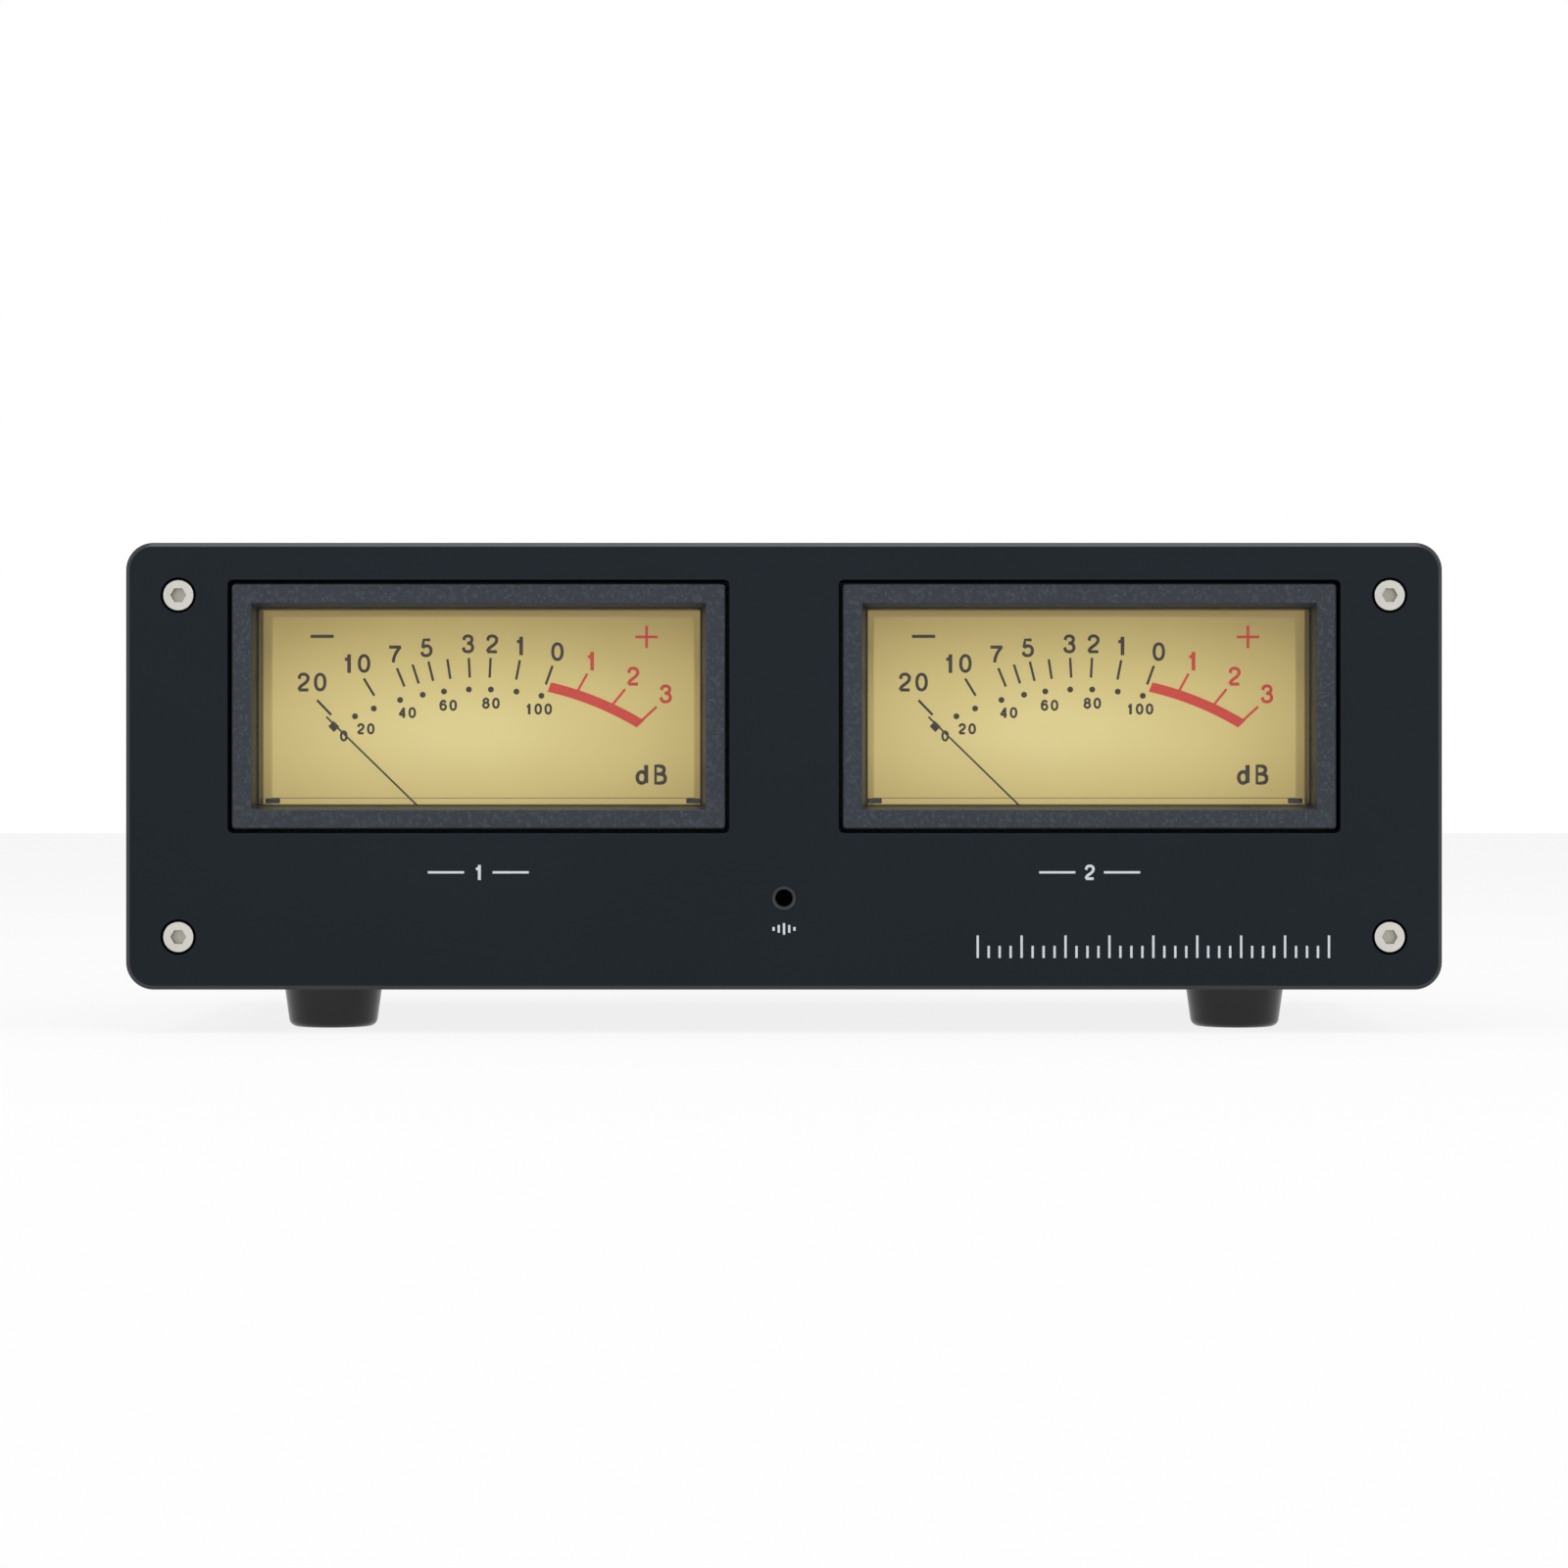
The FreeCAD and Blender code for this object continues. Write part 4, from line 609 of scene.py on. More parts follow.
def join(name, pieces):
    """Makes one piece of several, under one name."""
    choose(*pieces)
    if len(pieces) > 1:
        bpy.ops.object.join()
    joined = bpy.context.object
    joined.name = name
    joined.data.name = name
    return settle(joined)


def modify(piece, kind, **settings):
    """Adds a modifier with its settings, and applies it."""
    choose(piece)
    modifier = piece.modifiers.new(kind.lower(), kind)
    for name, value in settings.items():
        setattr(modifier, name, value)
    bpy.ops.object.modifier_apply(modifier=modifier.name)
    return piece


def pick(piece, wanted, kind="FACE"):
    """Goes into edit mode with the faces, edges or points that are wanted selected."""
    choose(piece)
    bpy.ops.object.mode_set(mode="EDIT")
    bpy.ops.mesh.select_mode(type=kind)
    bpy.ops.mesh.select_all(action="DESELECT")
    shape = bmesh.from_edit_mesh(piece.data)
    for part in {"FACE": shape.faces, "EDGE": shape.edges, "VERT": shape.verts}[kind]:
        part.select_set(wanted(part))
    shape.select_flush_mode()
    bmesh.update_edit_mesh(piece.data)


def fit(piece, body, slot, material, *nodes):
    """Finishes a piece: its material, its body, and the nodes it stands for. The slot is not
    used.
    """
    rest()
    coat(piece, material)
    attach(piece, body)
    if nodes:
        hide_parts(*nodes)
    print(piece.name, "rides on", body, "with", len(piece.data.polygons), "faces")
    return piece


# %% [markdown]
# The scale is printed on the dial. Every mark of a moving coil meter points at
# the needle's pivot, but the marks end on arcs round a lower centre, because
# the scale is drawn flatter than the needle's own circle. So a mark is a strip
# along a ray from the pivot, cut off where the ray meets two arcs.

# %% Laying out the scale
INK = 0.03
PRINT_SLOT = "dial_print"
PIVOT_HEIGHT = 29.65
ARC_DROP = 22.35
PRINT_SHIFT = -0.7
print_face = dial_low.y / MM - INK / 2


def reach(angle, radius):
    """How far a ray from the pivot runs before it meets an arc."""
    across = ARC_DROP * math.sin(angle)
    return math.sqrt(radius**2 - across**2) - ARC_DROP * math.cos(angle)


def on_dial(side, x, z):
    """A point of the print, from the needle's pivot, in millimetres."""
    return mm(DIAL_CENTRE[side].x / MM + PRINT_SHIFT + x, print_face, PIVOT_HEIGHT + z)


def strip(start, end, width):
    """A flat upright strip between two points, in metres."""
    along = end - start
    turn = math.atan2(along.x, along.z)
    rest()
    bpy.ops.mesh.primitive_plane_add(
        size=1, location=(start + end) / 2, rotation=(UPRIGHT, turn, 0)
    )
    made = bpy.context.object
    made.scale = (width * MM, along.length, 1)
    return settle(made)


def ray_point(side, degrees, radius):
    """The point where a ray from the pivot meets an arc."""
    angle = math.radians(degrees)
    length = reach(angle, radius)
    return on_dial(side, length * math.sin(angle), length * math.cos(angle))


def ray_strip(side, degrees, inner, outer):
    """A mark along a ray, between two arcs."""
    ends = [ray_point(side, degrees, radius) for radius in (inner, outer)]
    return strip(*ends, MARK_WIDTH)


def print_on(name, pieces, material, slot=PRINT_SLOT, depth=INK):
    """Joins flat pieces and gives them the thickness of ink."""
    printed = join(name, pieces)
    modify(printed, "SOLIDIFY", thickness=depth * MM, offset=0)
    return fit(printed, "root", slot, material)


DARK_MARKS = (-43.8, -31.2, -22.3, -18.1, -13.8, -8.7, -2.9, 3.0, 10.9, 19.7)
RED_MARKS = (28.8, 38.9, 47.4)
MARK_INNER, MARK_OUTER, MARK_WIDTH = 57.93, 61.6, 0.46
MINUS = ((-31.3, 43.2), (-27.0, 43.2), 0.6)
BASE_LINE = ((-38.6, 13.25), (39.9, 13.25), 0.10)
for side in SIDES:
    marks = [ray_strip(side, a, MARK_INNER, MARK_OUTER) for a in DARK_MARKS]
    for start, end, width in (MINUS, BASE_LINE):
        marks.append(strip(on_dial(side, *start), on_dial(side, *end), width))
    print_on(side + "_marks", marks, brown_ink)

# %% [markdown]
# The red part of the scale is a band that follows the lower arc, with a mark at
# each number and a plus sign. A spun edge makes the band, and two bisects cut
# its ends along rays from the pivot.

# %% Red band
BAND_INNER, BAND_OUTER = 56.7, 58.55
BAND_FROM, BAND_TURN = math.radians(8), math.radians(26)
BAND_ENDS = (20.9, 47.9)


def red_band(side):
    """The band from nought up, with ends that point at the pivot."""
    rest()
    centre = on_dial(side, 0, -ARC_DROP)
    size = (BAND_OUTER - BAND_INNER) * MM
    bpy.ops.mesh.primitive_plane_add(size=size, location=(0, 0, 0), rotation=(UPRIGHT, 0, 0))
    band = settle(bpy.context.object)
    pick(band, lambda point: point.co.x > 0, "VERT")
    bpy.ops.mesh.delete(type="VERT")
    bpy.ops.mesh.select_all(action="SELECT")
    bpy.ops.transform.translate(value=(size / 2, 0, (BAND_INNER + BAND_OUTER) / 2 * MM))
    bpy.ops.transform.rotate(value=-BAND_FROM, orient_axis="Y", center_override=(0, 0, 0))
    bpy.ops.transform.translate(value=centre)
    bpy.ops.mesh.spin(steps=40, angle=-BAND_TURN, center=centre, axis=(0, 1, 0))
    pivot = on_dial(side, 0, 0)
    for degrees, low_side in zip(BAND_ENDS, (True, False)):
        angle = math.radians(degrees)
        bpy.ops.mesh.select_all(action="SELECT")
        bpy.ops.mesh.bisect(
            plane_co=pivot,
            plane_no=(math.cos(angle), 0, -math.sin(angle)),
            clear_inner=low_side,
            clear_outer=not low_side,
        )
    rest()
    return band


RED_INNER, RED_OUTER = BAND_OUTER - 0.1, MARK_OUTER + 0.35
PLUS = (((28.85, 43.1), (33.05, 43.1)), ((30.95, 41.0), (30.95, 45.2)))
PLUS_WIDTH = 0.52
for side in SIDES:
    pieces = [red_band(side)]
    pieces += [ray_strip(side, a, RED_INNER, RED_OUTER) for a in RED_MARKS]
    for start, end in PLUS:
        pieces.append(strip(on_dial(side, *start), on_dial(side, *end), PLUS_WIDTH))
    print_on(side + "_red_scale", pieces, red_ink)

# %% [markdown]
# The second scale is a row of dots on its own arc. It starts with a short
# slanted mark at the needle's resting place.

# %% Dots
DOT_RADIUS, DOT_ARC = 0.55, 55.74
DOTS = (-39.1, -33.3, -25.1, -18.0, -11.3, -3.4, 3.6, 11.7, 19.6)
ZERO_MARK = ((-27.5, 26.0), (-26.5, 27.0), 1.5)


def dot(side, degrees):
    """A round dot on the lower arc."""
    rest()
    bpy.ops.mesh.primitive_circle_add(
        vertices=24,
        radius=DOT_RADIUS * MM,
        fill_type="NGON",
        location=ray_point(side, degrees, DOT_ARC),
        rotation=(UPRIGHT, 0, 0),
    )
    return settle(bpy.context.object)


for side in SIDES:
    dots = [dot(side, a) for a in DOTS]
    start, end, width = ZERO_MARK
    dots.append(strip(on_dial(side, *start), on_dial(side, *end), width))
    print_on(side + "_dots", dots, brown_ink)

# %% [markdown]
# A dial's figures are drawn with an even stroke, which the built-in font does
# not have. So each figure is a few Bezier strokes of one width, and a letter is
# drawn the same way. The strokes are given a round bevel, made a mesh, and
# pressed flat to the thickness of ink.

# %% Figures of even stroke
CORNER, ROUND = "VECTOR", "AUTO"
OPEN, CLOSED = False, True
FIGURES = {
    "0": [(CLOSED, ROUND, [(0.30, 1), (0.60, 0.5), (0.30, 0), (0, 0.5)])],
    "1": [
        (OPEN, ROUND, [(0.14, 0.75), (0.27, 0.78), (0.37, 0.86), (0.41, 1)]),
        (OPEN, CORNER, [(0.41, 1.08), (0.41, -0.1)]),
    ],
    "2": [
        (OPEN, ROUND, [(0.02, 0.70), (0.09, 0.92), (0.31, 1), (0.52, 0.92), (0.59, 0.73),
                       (0.49, 0.52), (0.24, 0.32), (0.07, 0.16), (0, 0)]),
        (OPEN, CORNER, [(0, 0), (0.61, 0)]),
    ],
    "3": [
        (OPEN, ROUND, [(0.03, 0.74), (0.10, 0.93), (0.30, 1), (0.49, 0.93), (0.55, 0.76),
                       (0.46, 0.59), (0.25, 0.54)]),
        (OPEN, ROUND, [(0.25, 0.54), (0.49, 0.48), (0.59, 0.28), (0.51, 0.07), (0.29, 0),
                       (0.08, 0.07), (0, 0.28)]),
    ],
    "4": [
        (OPEN, CORNER, [(0.46, -0.09), (0.46, 1.06)]),
        (OPEN, CORNER, [(0.46, 0.97), (0, 0.27)]),
        (OPEN, CORNER, [(-0.04, 0.27), (0.66, 0.27)]),
    ],
    "5": [
        (OPEN, CORNER, [(0.54, 1), (0.13, 1), (0.06, 0.50)]),
        (OPEN, ROUND, [(0.06, 0.50), (0.29, 0.62), (0.51, 0.54), (0.59, 0.32), (0.51, 0.09),
                       (0.28, 0), (0.08, 0.06), (0, 0.24)]),
    ],
    "6": [
        (OPEN, ROUND, [(0.56, 0.78), (0.48, 0.94), (0.31, 1), (0.10, 0.87), (0, 0.50),
                       (0.02, 0.32)]),
        (CLOSED, ROUND, [(0.30, 0.62), (0.59, 0.31), (0.30, 0), (0.01, 0.31)]),
    ],
    "7": [
        (OPEN, CORNER, [(-0.06, 0.98), (0.70, 0.98)]),
        (OPEN, ROUND, [(0.65, 0.98), (0.42, 0.68), (0.26, 0.33), (0.20, 0)]),
    ],
    "8": [
        (CLOSED, ROUND, [(0.30, 1), (0.55, 0.78), (0.30, 0.55), (0.05, 0.78)]),
        (CLOSED, ROUND, [(0.30, 0.55), (0.60, 0.27), (0.30, 0), (0, 0.27)]),
    ],
    "d": [
        (OPEN, CORNER, [(0.52, 0), (0.52, 1.06)]),
        (CLOSED, ROUND, [(0.26, 0.66), (0.52, 0.33), (0.26, 0), (0, 0.33)]),
    ],
    "B": [
        (OPEN, CORNER, [(0.26, 0.53), (0, 0.53), (0, 1), (0.26, 1)]),
        (OPEN, ROUND, [(0.26, 1), (0.44, 0.93), (0.49, 0.77), (0.43, 0.60), (0.26, 0.53)]),
        (OPEN, CORNER, [(0.30, 0), (0, 0), (0, 0.53), (0.30, 0.53)]),
        (OPEN, ROUND, [(0.30, 0.53), (0.49, 0.46), (0.56, 0.27), (0.49, 0.07), (0.30, 0)]),
    ],
}
STEP_ON = 0.86


def figures(text, centre, height, stroke):
    """Upright figures of a given height and stroke, in millimetres, round a point."""
    tall = (height - stroke) * MM
    rest()
    bpy.ops.curve.primitive_bezier_curve_add(location=(0, 0, 0))
    lines = bpy.context.object.data
    lines.splines.clear()
    lines.bevel_depth = stroke / 2 * MM
    lines.bevel_resolution = 1
    lines.resolution_u = 5
    lines.use_fill_caps = True
    for place, figure in enumerate(text):
        start = place * STEP_ON * height * MM
        for closed, bend, points in FIGURES[figure]:
            line = lines.splines.new("BEZIER")
            line.bezier_points.add(len(points) - 1)
            line.use_cyclic_u = closed
            for knot, (x, z) in zip(line.bezier_points, points):
                knot.co = (start + x * tall, 0, z * tall)
                knot.handle_left_type = bend
                knot.handle_right_type = bend
    bpy.ops.object.convert(target="MESH")
    made = bpy.context.object
    across = [v.co.x for v in made.data.vertices]
    shift = Vector((-(min(across) + max(across)) / 2, 0, -tall / 2))
    made.data.transform(Matrix.Translation(shift))
    made.data.transform(Matrix.Diagonal((1, INK / stroke, 1, 1)))
    made.data.transform(Matrix.Translation(centre))
    return made


def print_figures(name, side, items, material):
    """Prints a list of (text, x, z, height, stroke) on one dial."""
    made = [figures(text, on_dial(side, x, z), *shape) for text, x, z, *shape in items]
    fit(join(side + name, made), "root", PRINT_SLOT, material)


BIG = (3.6, 0.68)
SMALL = (2.15, 0.50)
DARK_FIGURES = (
    ("20", -31.05, 34.73, *BIG),
    ("10", -22.62, 38.18, *BIG),
    ("7", -15.60, 39.81, *BIG),
    ("5", -9.84, 41.09, *BIG),
    ("3", -2.14, 41.81, *BIG),
    ("2", 2.32, 41.81, *BIG),
    ("1", 7.45, 41.45, *BIG),
    ("0", 14.43, 40.36, *BIG),
    ("0", -25.15, 24.75, *SMALL),
    ("20", -21.06, 26.07, *SMALL),
    ("40", -13.38, 29.07, *SMALL),
    ("60", -5.81, 30.43, *SMALL),
    ("80", 2.11, 30.81, *SMALL),
    ("100", 11.07, 29.74, *SMALL),
    ("dB", 31.8, 17.6, 3.95, 0.78),
)
RED_FIGURES = (
    ("1", 20.60, 38.63, *BIG),
    ("2", 28.45, 35.82, *BIG),
    ("3", 34.46, 32.55, *BIG),
)
for side in SIDES:
    print_figures("_figures", side, DARK_FIGURES, brown_ink)
    print_figures("_red_figures", side, RED_FIGURES, red_ink)

# %% [markdown]
# Round a clear cover runs a thin black sleeve, a dark sheet that paints the shade
# in the small gap to the bezel. It fills the small gap to the bezel.
# It is a box with its two ends taken off and a wall given by Solidify. Two small
# black feet hold the cover off the dial at its lower corners.

# %% Shade sleeves and corner feet of the covers
SLEEVE_WALL, SLEEVE_GAP, SLEEVE_DEEP = 0.08, 0.03, 6.9
COVER_FLANGE = 2.3
FOOT_START, FOOT_LONG = 37.6, 2.6
FOOT_LOW, FOOT_TALL, FOOT_DEEP = 41.9, 0.95, 1.4
FOOT_ROUNDING = 0.15


def block(start, end):
    """A box between two opposite corners, in metres."""
    low, high = Vector(map(min, start, end)), Vector(map(max, start, end))
    rest()
    bpy.ops.mesh.primitive_cube_add(size=1, location=(low + high) / 2)
    made = bpy.context.object
    made.scale = high - low
    return settle(made)


def facing_y(face):
    """True for a face that looks to the front or the back."""
    return abs(face.normal.y) > 0.9


for side in SIDES:
    low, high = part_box(side + "_window")
    grow = mm(SLEEVE_GAP - COVER_FLANGE, 0, SLEEVE_GAP - COVER_FLANGE)
    far = Vector((high.x, low.y, high.z)) + grow + mm(0, SLEEVE_DEEP, 0)
    # The sleeve is a dark sheet that paints the shade between cover and bezel.
    sleeve = block(low - grow, far)
    pick(sleeve, facing_y)
    bpy.ops.mesh.delete(type="FACE")
    rest()
    sleeve.name = side + "_light_sleeve"
    modify(sleeve, "SOLIDIFY", thickness=SLEEVE_WALL * MM, offset=1)
    fit(sleeve, "root", "case_plastic", component_black)

    below = Vector((DIAL_CENTRE[side].x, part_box(side + "_dial")[0].y, 0))
    feet = []
    for way in (-1, 1):
        inner = below + mm(way * FOOT_START, -FOOT_DEEP, FOOT_LOW)
        outer = inner + mm(way * FOOT_LONG, FOOT_DEEP, FOOT_TALL)
        foot = block(inner, outer)
        feet.append(modify(foot, "BEVEL", width=FOOT_ROUNDING * MM, segments=2))
    fit(join(side + "_cover_feet", feet), "root", "case_plastic", component_black)

# %% [markdown]
# The panel carries white print. Each channel has its plain number between two
# rules, five short bars stand under the hole for the sound, and a graduated rule
# stands at the lower right. They are strips like the scale's marks.

# %% Print on the panel
PANEL_INK, PANEL_STROKE = 0.02, 0.42
PANEL_SLOT = "panel_black"
LABEL_HEIGHT, LABEL_START, LABEL_REACH = 29.4, 2.6, 9.2
DIGIT_SIZE = (2.9, 0.58)
TICKS, TICK_STEP, TICK_LONG_EVERY = 33, 2.0, 4
RULE_MIDDLE, RULE_LOW, RULE_LONG, RULE_SHORT = 67.3, 13.8, 17.9, 16.0
BARS, BAR_STEP, BAR_HEIGHT = (0.7, 1.4, 2.1, 1.4, 0.7), 0.95, 19.1


def panel_strip(x, z, to_x, to_z):
    """A strip of the panel's print between two points, in millimetres."""
    face = panel_low.y / MM
    return strip(mm(x, face, z), mm(to_x, face, to_z), PANEL_STROKE)


def panel_print(name, pieces):
    """Joins flat pieces and gives them the thickness of paint."""
    print_on(name, pieces, white_ink, PANEL_SLOT, PANEL_INK)


for number, side in enumerate(SIDES, start=1):
    x, z = DIAL_CENTRE[side].x / MM, LABEL_HEIGHT
    ends = [(x + way * LABEL_START, z, x + way * LABEL_REACH, z) for way in (-1, 1)]
    panel_print(side + "_channel_rules", [panel_strip(*pair) for pair in ends])
    digit = figures(str(number), mm(x, panel_low.y / MM, z), *DIGIT_SIZE)
    fit(join(side + "_channel_number", [digit]), "root", PANEL_SLOT, white_ink)

ticks = []
for step in range(TICKS):
    x = RULE_MIDDLE + (step - TICKS // 2) * TICK_STEP
    top = RULE_SHORT if step % TICK_LONG_EVERY else RULE_LONG
    ticks.append(panel_strip(x, RULE_LOW, x, top))
panel_print("panel_rule", ticks)

bars = []
for step, rise in enumerate(BARS):
    x = (step - len(BARS) // 2) * BAR_STEP
    bars.append(panel_strip(x, BAR_HEIGHT - rise / 2, x, BAR_HEIGHT + rise / 2))
panel_print("level_mark", bars)

# %% [markdown]
# Turned pieces are drawn out ring by ring, as on a lathe: a disc is extruded
# along its axis, and each new rim is scaled to its radius. One list of places
# and radii is then the whole profile, and easy to read off a drawing.

# %% Turning helper
FORWARD = (UPRIGHT, 0, 0)
UP = (0, 0, 0)
TURNED_SIDES = 64
TURNED_SMOOTH = math.radians(35)


def turned(centre, turn, rings, vertices=TURNED_SIDES):
    """A turned piece from (place, radius) rings, in millimetres along its axis."""
    rest()
    place, radius = rings[0]
    location = (0, 0, place * MM)
    bpy.ops.mesh.primitive_circle_add(
        vertices=vertices, radius=radius * MM, fill_type="NGON", location=location
    )
    piece = settle(bpy.context.object)
    bpy.ops.object.mode_set(mode="EDIT")
    bpy.ops.mesh.select_mode(type="FACE")
    bpy.ops.mesh.select_all(action="SELECT")
    for after, wide in rings[1:]:
        move = {"value": (0, 0, (after - place) * MM)}
        bpy.ops.mesh.extrude_region_move(TRANSFORM_OT_translate=move)
        grow = wide / radius
        bpy.ops.transform.resize(value=(grow, grow, 1), center_override=(0, 0, after * MM))
        place, radius = after, wide
    bpy.ops.mesh.select_all(action="SELECT")
    bpy.ops.mesh.normals_make_consistent(inside=False)
    rest()
    choose(piece)
    bpy.ops.object.shade_smooth_by_angle(angle=TURNED_SMOOTH)
    piece.rotation_euler = turn
    piece.location = centre
    return settle(piece)


def open_middle(piece):
    """Takes off the two end discs of a turned piece, and joins their rims."""
    pick(piece, lambda face: len(face.verts) > 4)
    bpy.ops.mesh.delete(type="FACE")
    pick(piece, lambda edge: edge.is_boundary, "EDGE")
    bpy.ops.mesh.bridge_edge_loops()
    bpy.ops.mesh.select_all(action="SELECT")
    bpy.ops.mesh.normals_make_consistent(inside=False)
    rest()
    return piece


print("a turned piece has", TURNED_SIDES, "sides, if nothing else is asked for")

# %% [markdown]
# The feet are tapered glossy cups with a rounded rim at the floor and a deep
# hole underneath, where the screw sits. They replace the solids, whose rims are
# coarser.

# %% Feet
FOOT_TOP, FOOT_BASE = 9.7, 8.1
FOOT_EDGE, FOOT_EDGE_STEPS = 1.3, 6
FOOT_BORE, FOOT_FLOOR, SCREW_HOLE = 4.0, 4.5, 1.6
TOP_CHAMFER, BORE_CHAMFER = 0.25, 0.2
FOOT_SIDES = 96
for name in ("front_left_foot", "front_right_foot", "rear_left_foot", "rear_right_foot"):
    low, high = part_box(name)
    tall = (high.z - low.z) / MM
    rings = [
        (tall, SCREW_HOLE),
        (tall, FOOT_TOP - TOP_CHAMFER),
        (tall - TOP_CHAMFER, FOOT_TOP),
    ]
    lean = (FOOT_TOP - FOOT_BASE) / tall
    for step in range(FOOT_EDGE_STEPS + 1):
        angle = math.radians(90 * step / FOOT_EDGE_STEPS)
        rise = FOOT_EDGE * (1 - math.sin(angle))
        inward = FOOT_EDGE * (1 - math.cos(angle))
        rings.append((rise, FOOT_BASE + rise * lean - inward))
    rings += [
        (0, FOOT_BORE + BORE_CHAMFER),
        (BORE_CHAMFER, FOOT_BORE),
        (tall - FOOT_FLOOR, FOOT_BORE),
        (tall - FOOT_FLOOR, SCREW_HOLE),
    ]
    foot_place = Vector((middle(name).x, middle(name).y, low.z))
    foot = open_middle(turned(foot_place, UP, rings, FOOT_SIDES))
    foot.name = name + "_cup"
    fit(foot, "root", "foot_plastic", foot_plastic, name)

# %% [markdown]
# A machined or moulded edge is never knife sharp, and catches a thin line of
# light. So most pieces that show on the outside get a copy of their solid with
# merged points, whole flat faces and a hair of a bevel, shaded smooth across
# shallow angles only. The widths are in millimetres, coarser for the panels,
# plates and rails.

# %% Softened edges
EDGE_ANGLE = math.radians(30)
SMOOTH_ANGLE = math.radians(38)
FLAT_ANGLE = math.radians(0.6)
SAME_POINT = 0.000001
SOFTENED = {
    "front_panel": ("root", "panel_black", 0.22),
    "rear_panel": ("root", "chassis_black", 0.18),
    "top_plate": ("root", "chassis_black", 0.18),
    "bottom_plate": ("root", "chassis_black", 0.18),
    "left_side_rail": ("root", "chassis_black", 0.18),
    "right_side_rail": ("root", "chassis_black", 0.18),
    "left_bezel": ("root", "bezel_plastic", 0.14),
    "right_bezel": ("root", "bezel_plastic", 0.14),
    "front_panel_screws": ("root", "stainless_steel", 0.07),
    "rear_panel_screws": ("root", "stainless_steel", 0.07),
    "foot_screws": ("root", "stainless_steel", 0.07),
    "left_input_jack": ("root", "nickel", 0.06),
    "right_input_jack": ("root", "nickel", 0.06),
    "power_inlet": ("root", "component_black", 0.08),
    "power_switch": ("root", "nickel", 0.06),
    "power_lever": ("power_lever", "nickel", 0.05),
    "gain_shaft": ("gain_knob", "nickel", 0.05),
    "gain_knob": ("gain_knob", "knob_black", 0.10),
    "mic_capsule": ("root", "mic_metal", 0.05),
}


def softened(node, body, slot, width):
    """Stands a copy with fine bevels in a solid's place."""
    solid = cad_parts[node]
    copy = bpy.data.objects.new(node + "_edges", solid.data.copy())
    bpy.context.scene.collection.objects.link(copy)
    pick(copy, lambda face: True)
    bpy.ops.mesh.remove_doubles(threshold=SAME_POINT)
    bpy.ops.mesh.dissolve_limited(angle_limit=FLAT_ANGLE)
    rest()
    settings = {"limit_method": "ANGLE", "angle_limit": EDGE_ANGLE, "segments": 2}
    modify(copy, "BEVEL", width=width * MM, **settings)
    choose(copy)
    bpy.ops.object.shade_smooth_by_angle(angle=SMOOTH_ANGLE)
    modify(copy, "WEIGHTED_NORMAL", keep_sharp=True, weight=100)
    fit(copy, body, slot, solid_finish[node], node)


for node, (body, slot, width) in SOFTENED.items():
    softened(node, body, slot, width)

# %% [markdown]
# Some faces of one solid have a finish of their own. The lips round the openings
# are smoother than the bezel's face, and mirror a little of the lit dial. The
# chamfer round the front panel is cut after the black coat, so it shows dark
# metal. The screws' sockets are painted darker than their polished heads, as painted shade
# in the recess.

# %% Faces with a finish of their own
LIP_HALF_WIDTH, LIP_HALF_HEIGHT, LIP_FACING = 41.9, 19.3, 0.8
CHAMFER_BAND, CHAMFER_FACING, CORNER_SUM = 1.0, (0.3, 0.9), 1.5
SOCKET_REACH, SOCKET_START = 1.62, 0.03
HEAD_RADIUS = 2.75
panel_middle = (panel_low + panel_high) / 2


def recoat(node, material, wanted):
    """Gives the wanted faces of a softened copy a second finish."""
    piece = bpy.data.objects[node + "_edges"]
    piece.data.materials.append(material)
    pick(piece, wanted)
    piece.active_material_index = 1
    bpy.ops.object.material_slot_assign()
    rest()
    faces = sum(face.material_index for face in piece.data.polygons)
    print(piece.name, "faces recoated:", faces)


def in_opening(node):
    """Tells which faces slant into the opening of a bezel."""
    centre = middle(node)

    def wanted(face):
        offset = face.calc_center_median() - centre
        beside, above = abs(offset.x), abs(offset.z)
        inside = beside < LIP_HALF_WIDTH * MM and above < LIP_HALF_HEIGHT * MM
        return inside and abs(face.normal.y) < LIP_FACING

    return wanted


def on_chamfer(face):
    """True for a slanted face at the panel's outline."""
    offset = face.calc_center_median() - panel_middle
    half = (panel_high - panel_low) / 2
    edge = min(half.x - abs(offset.x), half.z - abs(offset.z))
    corner = (offset.x / half.x) ** 2 + (offset.z / half.z) ** 2 > CORNER_SUM
    slants = CHAMFER_FACING[0] < -face.normal.y < CHAMFER_FACING[1]
    return slants and (corner or edge < CHAMFER_BAND * MM)


def in_socket(node):
    """Tells which faces lie inside the sockets of four cap screws."""
    low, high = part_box(node)
    centre = middle(node)
    screw = high - centre - mm(HEAD_RADIUS, 0, HEAD_RADIUS)

    def wanted(face):
        place = face.calc_center_median()
        across = abs(place.x - centre.x) - screw.x
        up = abs(place.z - centre.z) - screw.z
        depth = min(place.y - low.y, high.y - place.y)
        return math.hypot(across, up) < SOCKET_REACH * MM and depth > SOCKET_START * MM

    return wanted


for side in SIDES:
    recoat(side + "_bezel", bezel_lip, in_opening(side + "_bezel"))
recoat("front_panel", cut_edge, on_chamfer)
# The sockets' darker steel is painted shade in the recess.
for node in ("front_panel_screws", "rear_panel_screws"):
    recoat(node, shaded_socket_steel, in_socket(node))

# %% [markdown]
# A disc of black felt covers the front of the microphone, which makes its hole
# look deep. Round the hole lies a thin ring that slopes inward, so that its
# lower half catches the light from above.

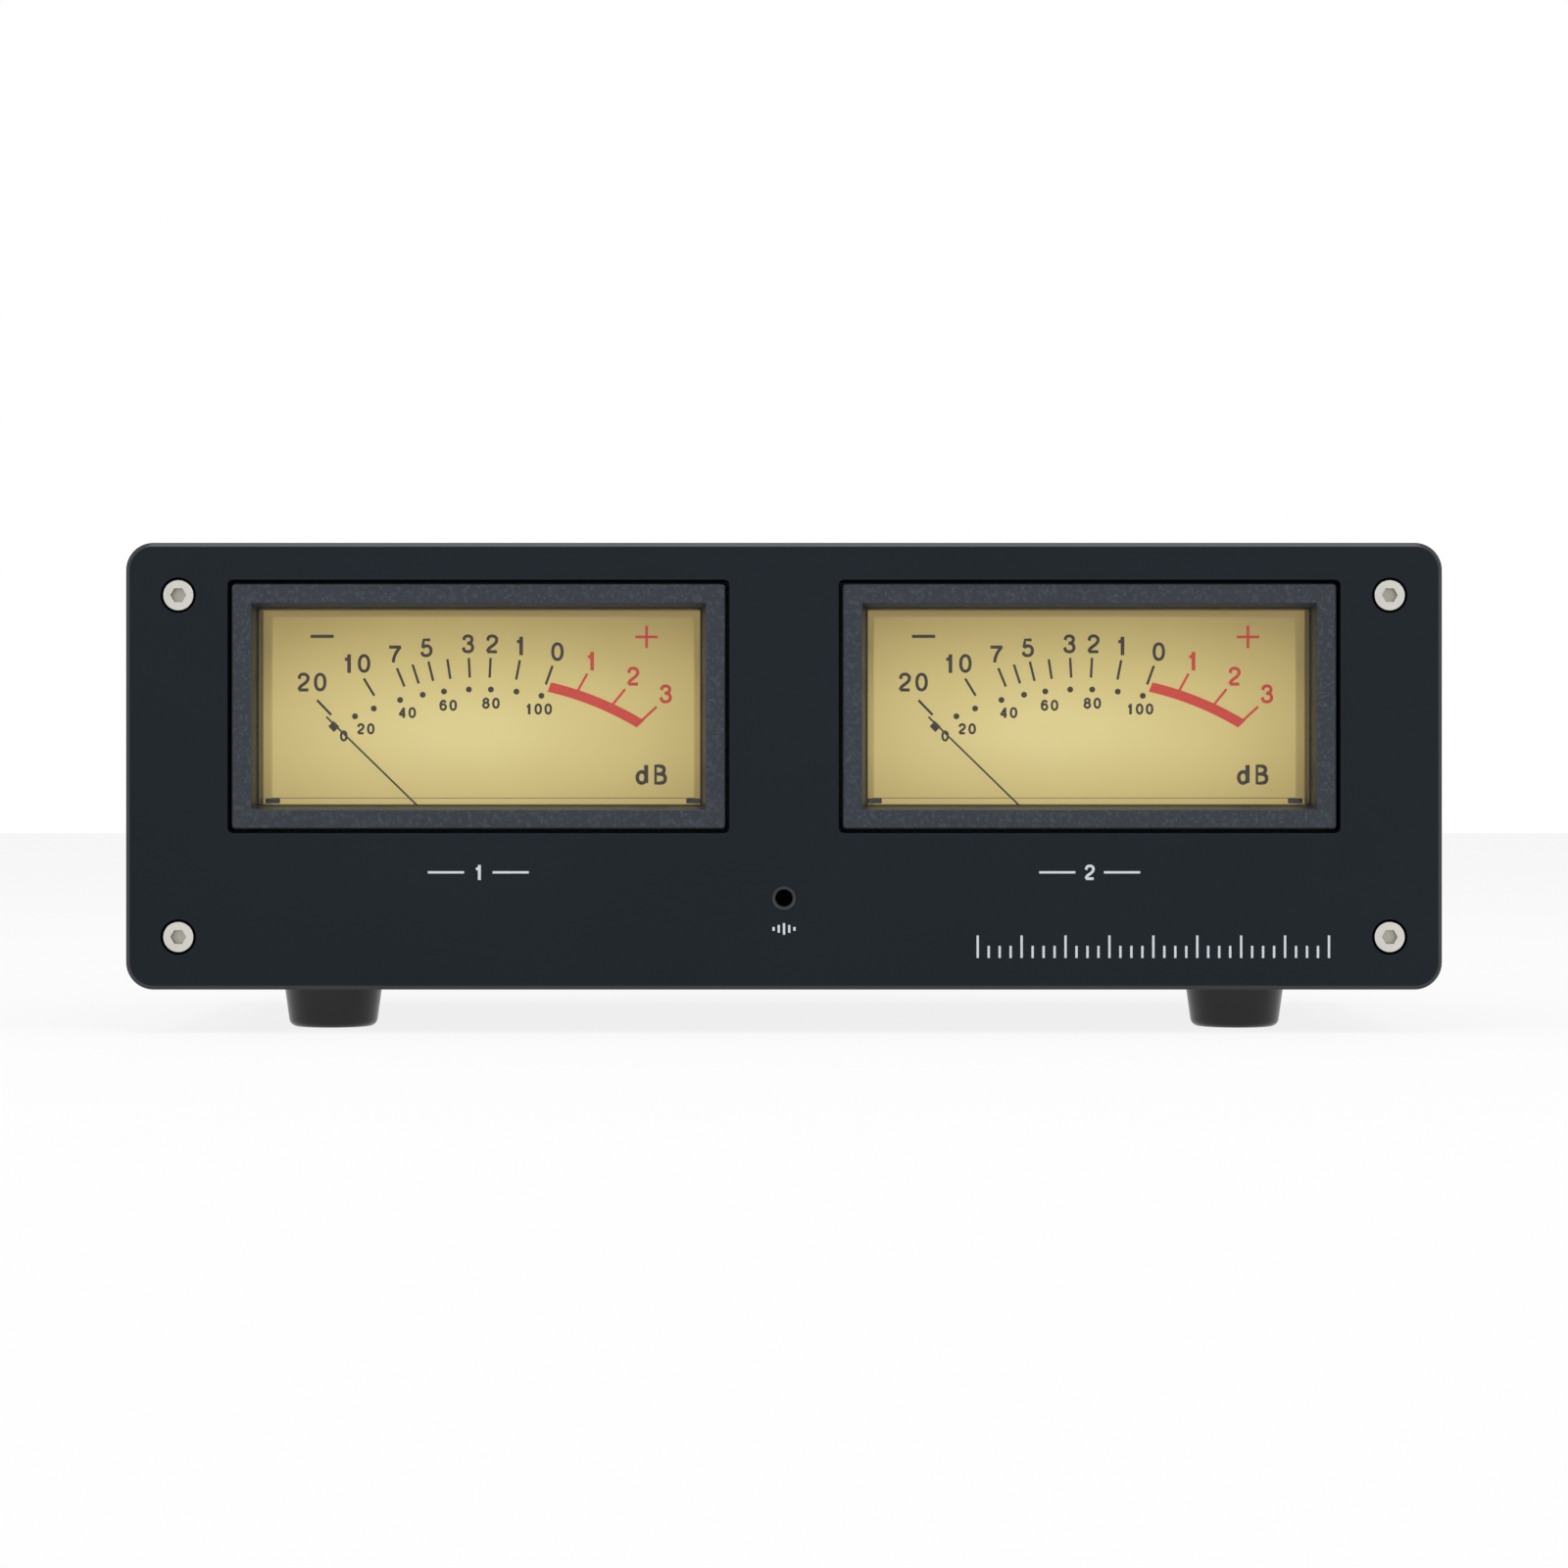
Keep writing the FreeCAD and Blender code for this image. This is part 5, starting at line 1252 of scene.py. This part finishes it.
# %% Microphone
RING_OUTER, RING_INNER, RING_RISE, RING_LEAN = 2.25, 1.62, 0.14, 0.08
RING_LIP, RING_LIP_RISE = 0.05, 0.01
FELT_INSET, FELT_THICK, FELT_STRAIGHT, FELT_ROUNDING = 0.2, 0.25, 0.15, 0.15
mic_low, mic_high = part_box("mic_capsule")
mic_centre = middle("mic_capsule")
radius = (mic_high.x - mic_low.x) / 2 / MM - FELT_INSET
felt_profile = [
    (0, radius),
    (FELT_STRAIGHT, radius),
    (FELT_THICK, radius - FELT_ROUNDING),
]
felt = turned(Vector((mic_centre.x, mic_low.y, mic_centre.z)), FORWARD, felt_profile)
felt.name = "mic_felt"
fit(felt, "root", "component_black", felt_black)
ring_place = Vector((mic_centre.x, panel_low.y, mic_centre.z))
ring_profile = [
    (0, RING_OUTER),
    (RING_RISE, RING_OUTER - RING_LEAN),
    (RING_LIP_RISE, RING_INNER + RING_LIP),
    (0, RING_INNER),
]
ring = open_middle(turned(ring_place, FORWARD, ring_profile))
ring.name = "mic_ring"
fit(ring, "root", "panel_black", cut_edge)

# %% [markdown]
# The meter stands on a plain white table in a white room. The floor and the sky
# are white to the camera and to reflections, while the light on the object comes
# from a soft sky at a plain level and from large lamps. The floor stays partly
# an ordinary surface, so that it keeps a soft shadow under the feet.

# %% Floor and room
FLOOR_SIZE, FLOOR_WHITE, SKY_LIGHT = 6, 0.85, 0.5


def looked_at(tree):
    """One for the camera, reflections and clear covers, and nought for light."""
    rays = Tone(tree, None).node("ShaderNodeLightPath", {}, {}).socket.node.outputs
    share = Tone(tree, rays["Is Camera Ray"])
    for ray in ("Is Glossy Ray", "Is Transmission Ray"):
        share = share.sum("MAXIMUM", share, Tone(tree, rays[ray]))
    return share


rest()
bpy.ops.mesh.primitive_plane_add(size=FLOOR_SIZE, location=(0, 0, frame_low.z))
floor = bpy.context.object
floor.name = "floor"
finish = Finish("floor_white", Roughness=0.9, Specular_IOR_Level=0.1)
dust = finish.noise(30.0, 3.0)
finish.drive("Base Color", finish.blend(dust, times(WHITE, 0.88), times(WHITE, 0.9)))
share = looked_at(finish.tree) * FLOOR_WHITE
glow = finish.node("ShaderNodeEmission", {}, {"Color": (*WHITE, 1), "Strength": 1.0})
plain = Tone(finish.tree, finish.shader.outputs[0])
mixed = finish.node("ShaderNodeMixShader", {}, {0: share, 1: plain, 2: glow})
finish.surface(mixed.socket)
coat(floor, finish.material)
floor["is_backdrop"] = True

world = bpy.data.worlds.new("white_room")
bpy.context.scene.world = world
world.use_nodes = True
background = world.node_tree.nodes["Background"]
background.inputs["Color"].default_value = (*WHITE, 1)
strength = looked_at(world.node_tree) * (1 - SKY_LIGHT) + SKY_LIGHT
world.node_tree.links.new(strength.socket, background.inputs["Strength"])
print("the room is white, and lights the object at half its strength")

# %% [markdown]
# Two large lamps stand in front to the left and right, and one above. They are
# far bigger than the object, so the edges catch soft light and no hard spot
# shows on the covers.

# %% Lamps
AIM = Vector((0, 0, 0.045))


def lamp(name, place, size, power):
    """A soft square lamp that faces the meter."""
    rest()
    bpy.ops.object.light_add(type="AREA", location=place)
    made = bpy.context.object
    made.name = name
    made.data.size = size
    made.data.energy = power
    toward = AIM - Vector(place)
    made.rotation_euler = toward.to_track_quat("-Z", "Y").to_euler()
    return made


lamps = [
    lamp("lamp_above", (0.0, -0.25, 1.1), 0.9, 5.0),
    lamp("lamp_left", (-1.0, -0.9, 0.7), 0.7, 4.0),
    lamp("lamp_right", (1.0, -0.9, 0.7), 0.7, 4.0),
]
print("lamps in watts:", [round(made.data.energy, 1) for made in lamps])

# %% [markdown]
# Last, the size of the dressed model is printed, to set against the size of the
# solids.

# %% Dressed size
low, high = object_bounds()
print("dressed size", [round(v * 1000, 2) for v in high - low], "mm")
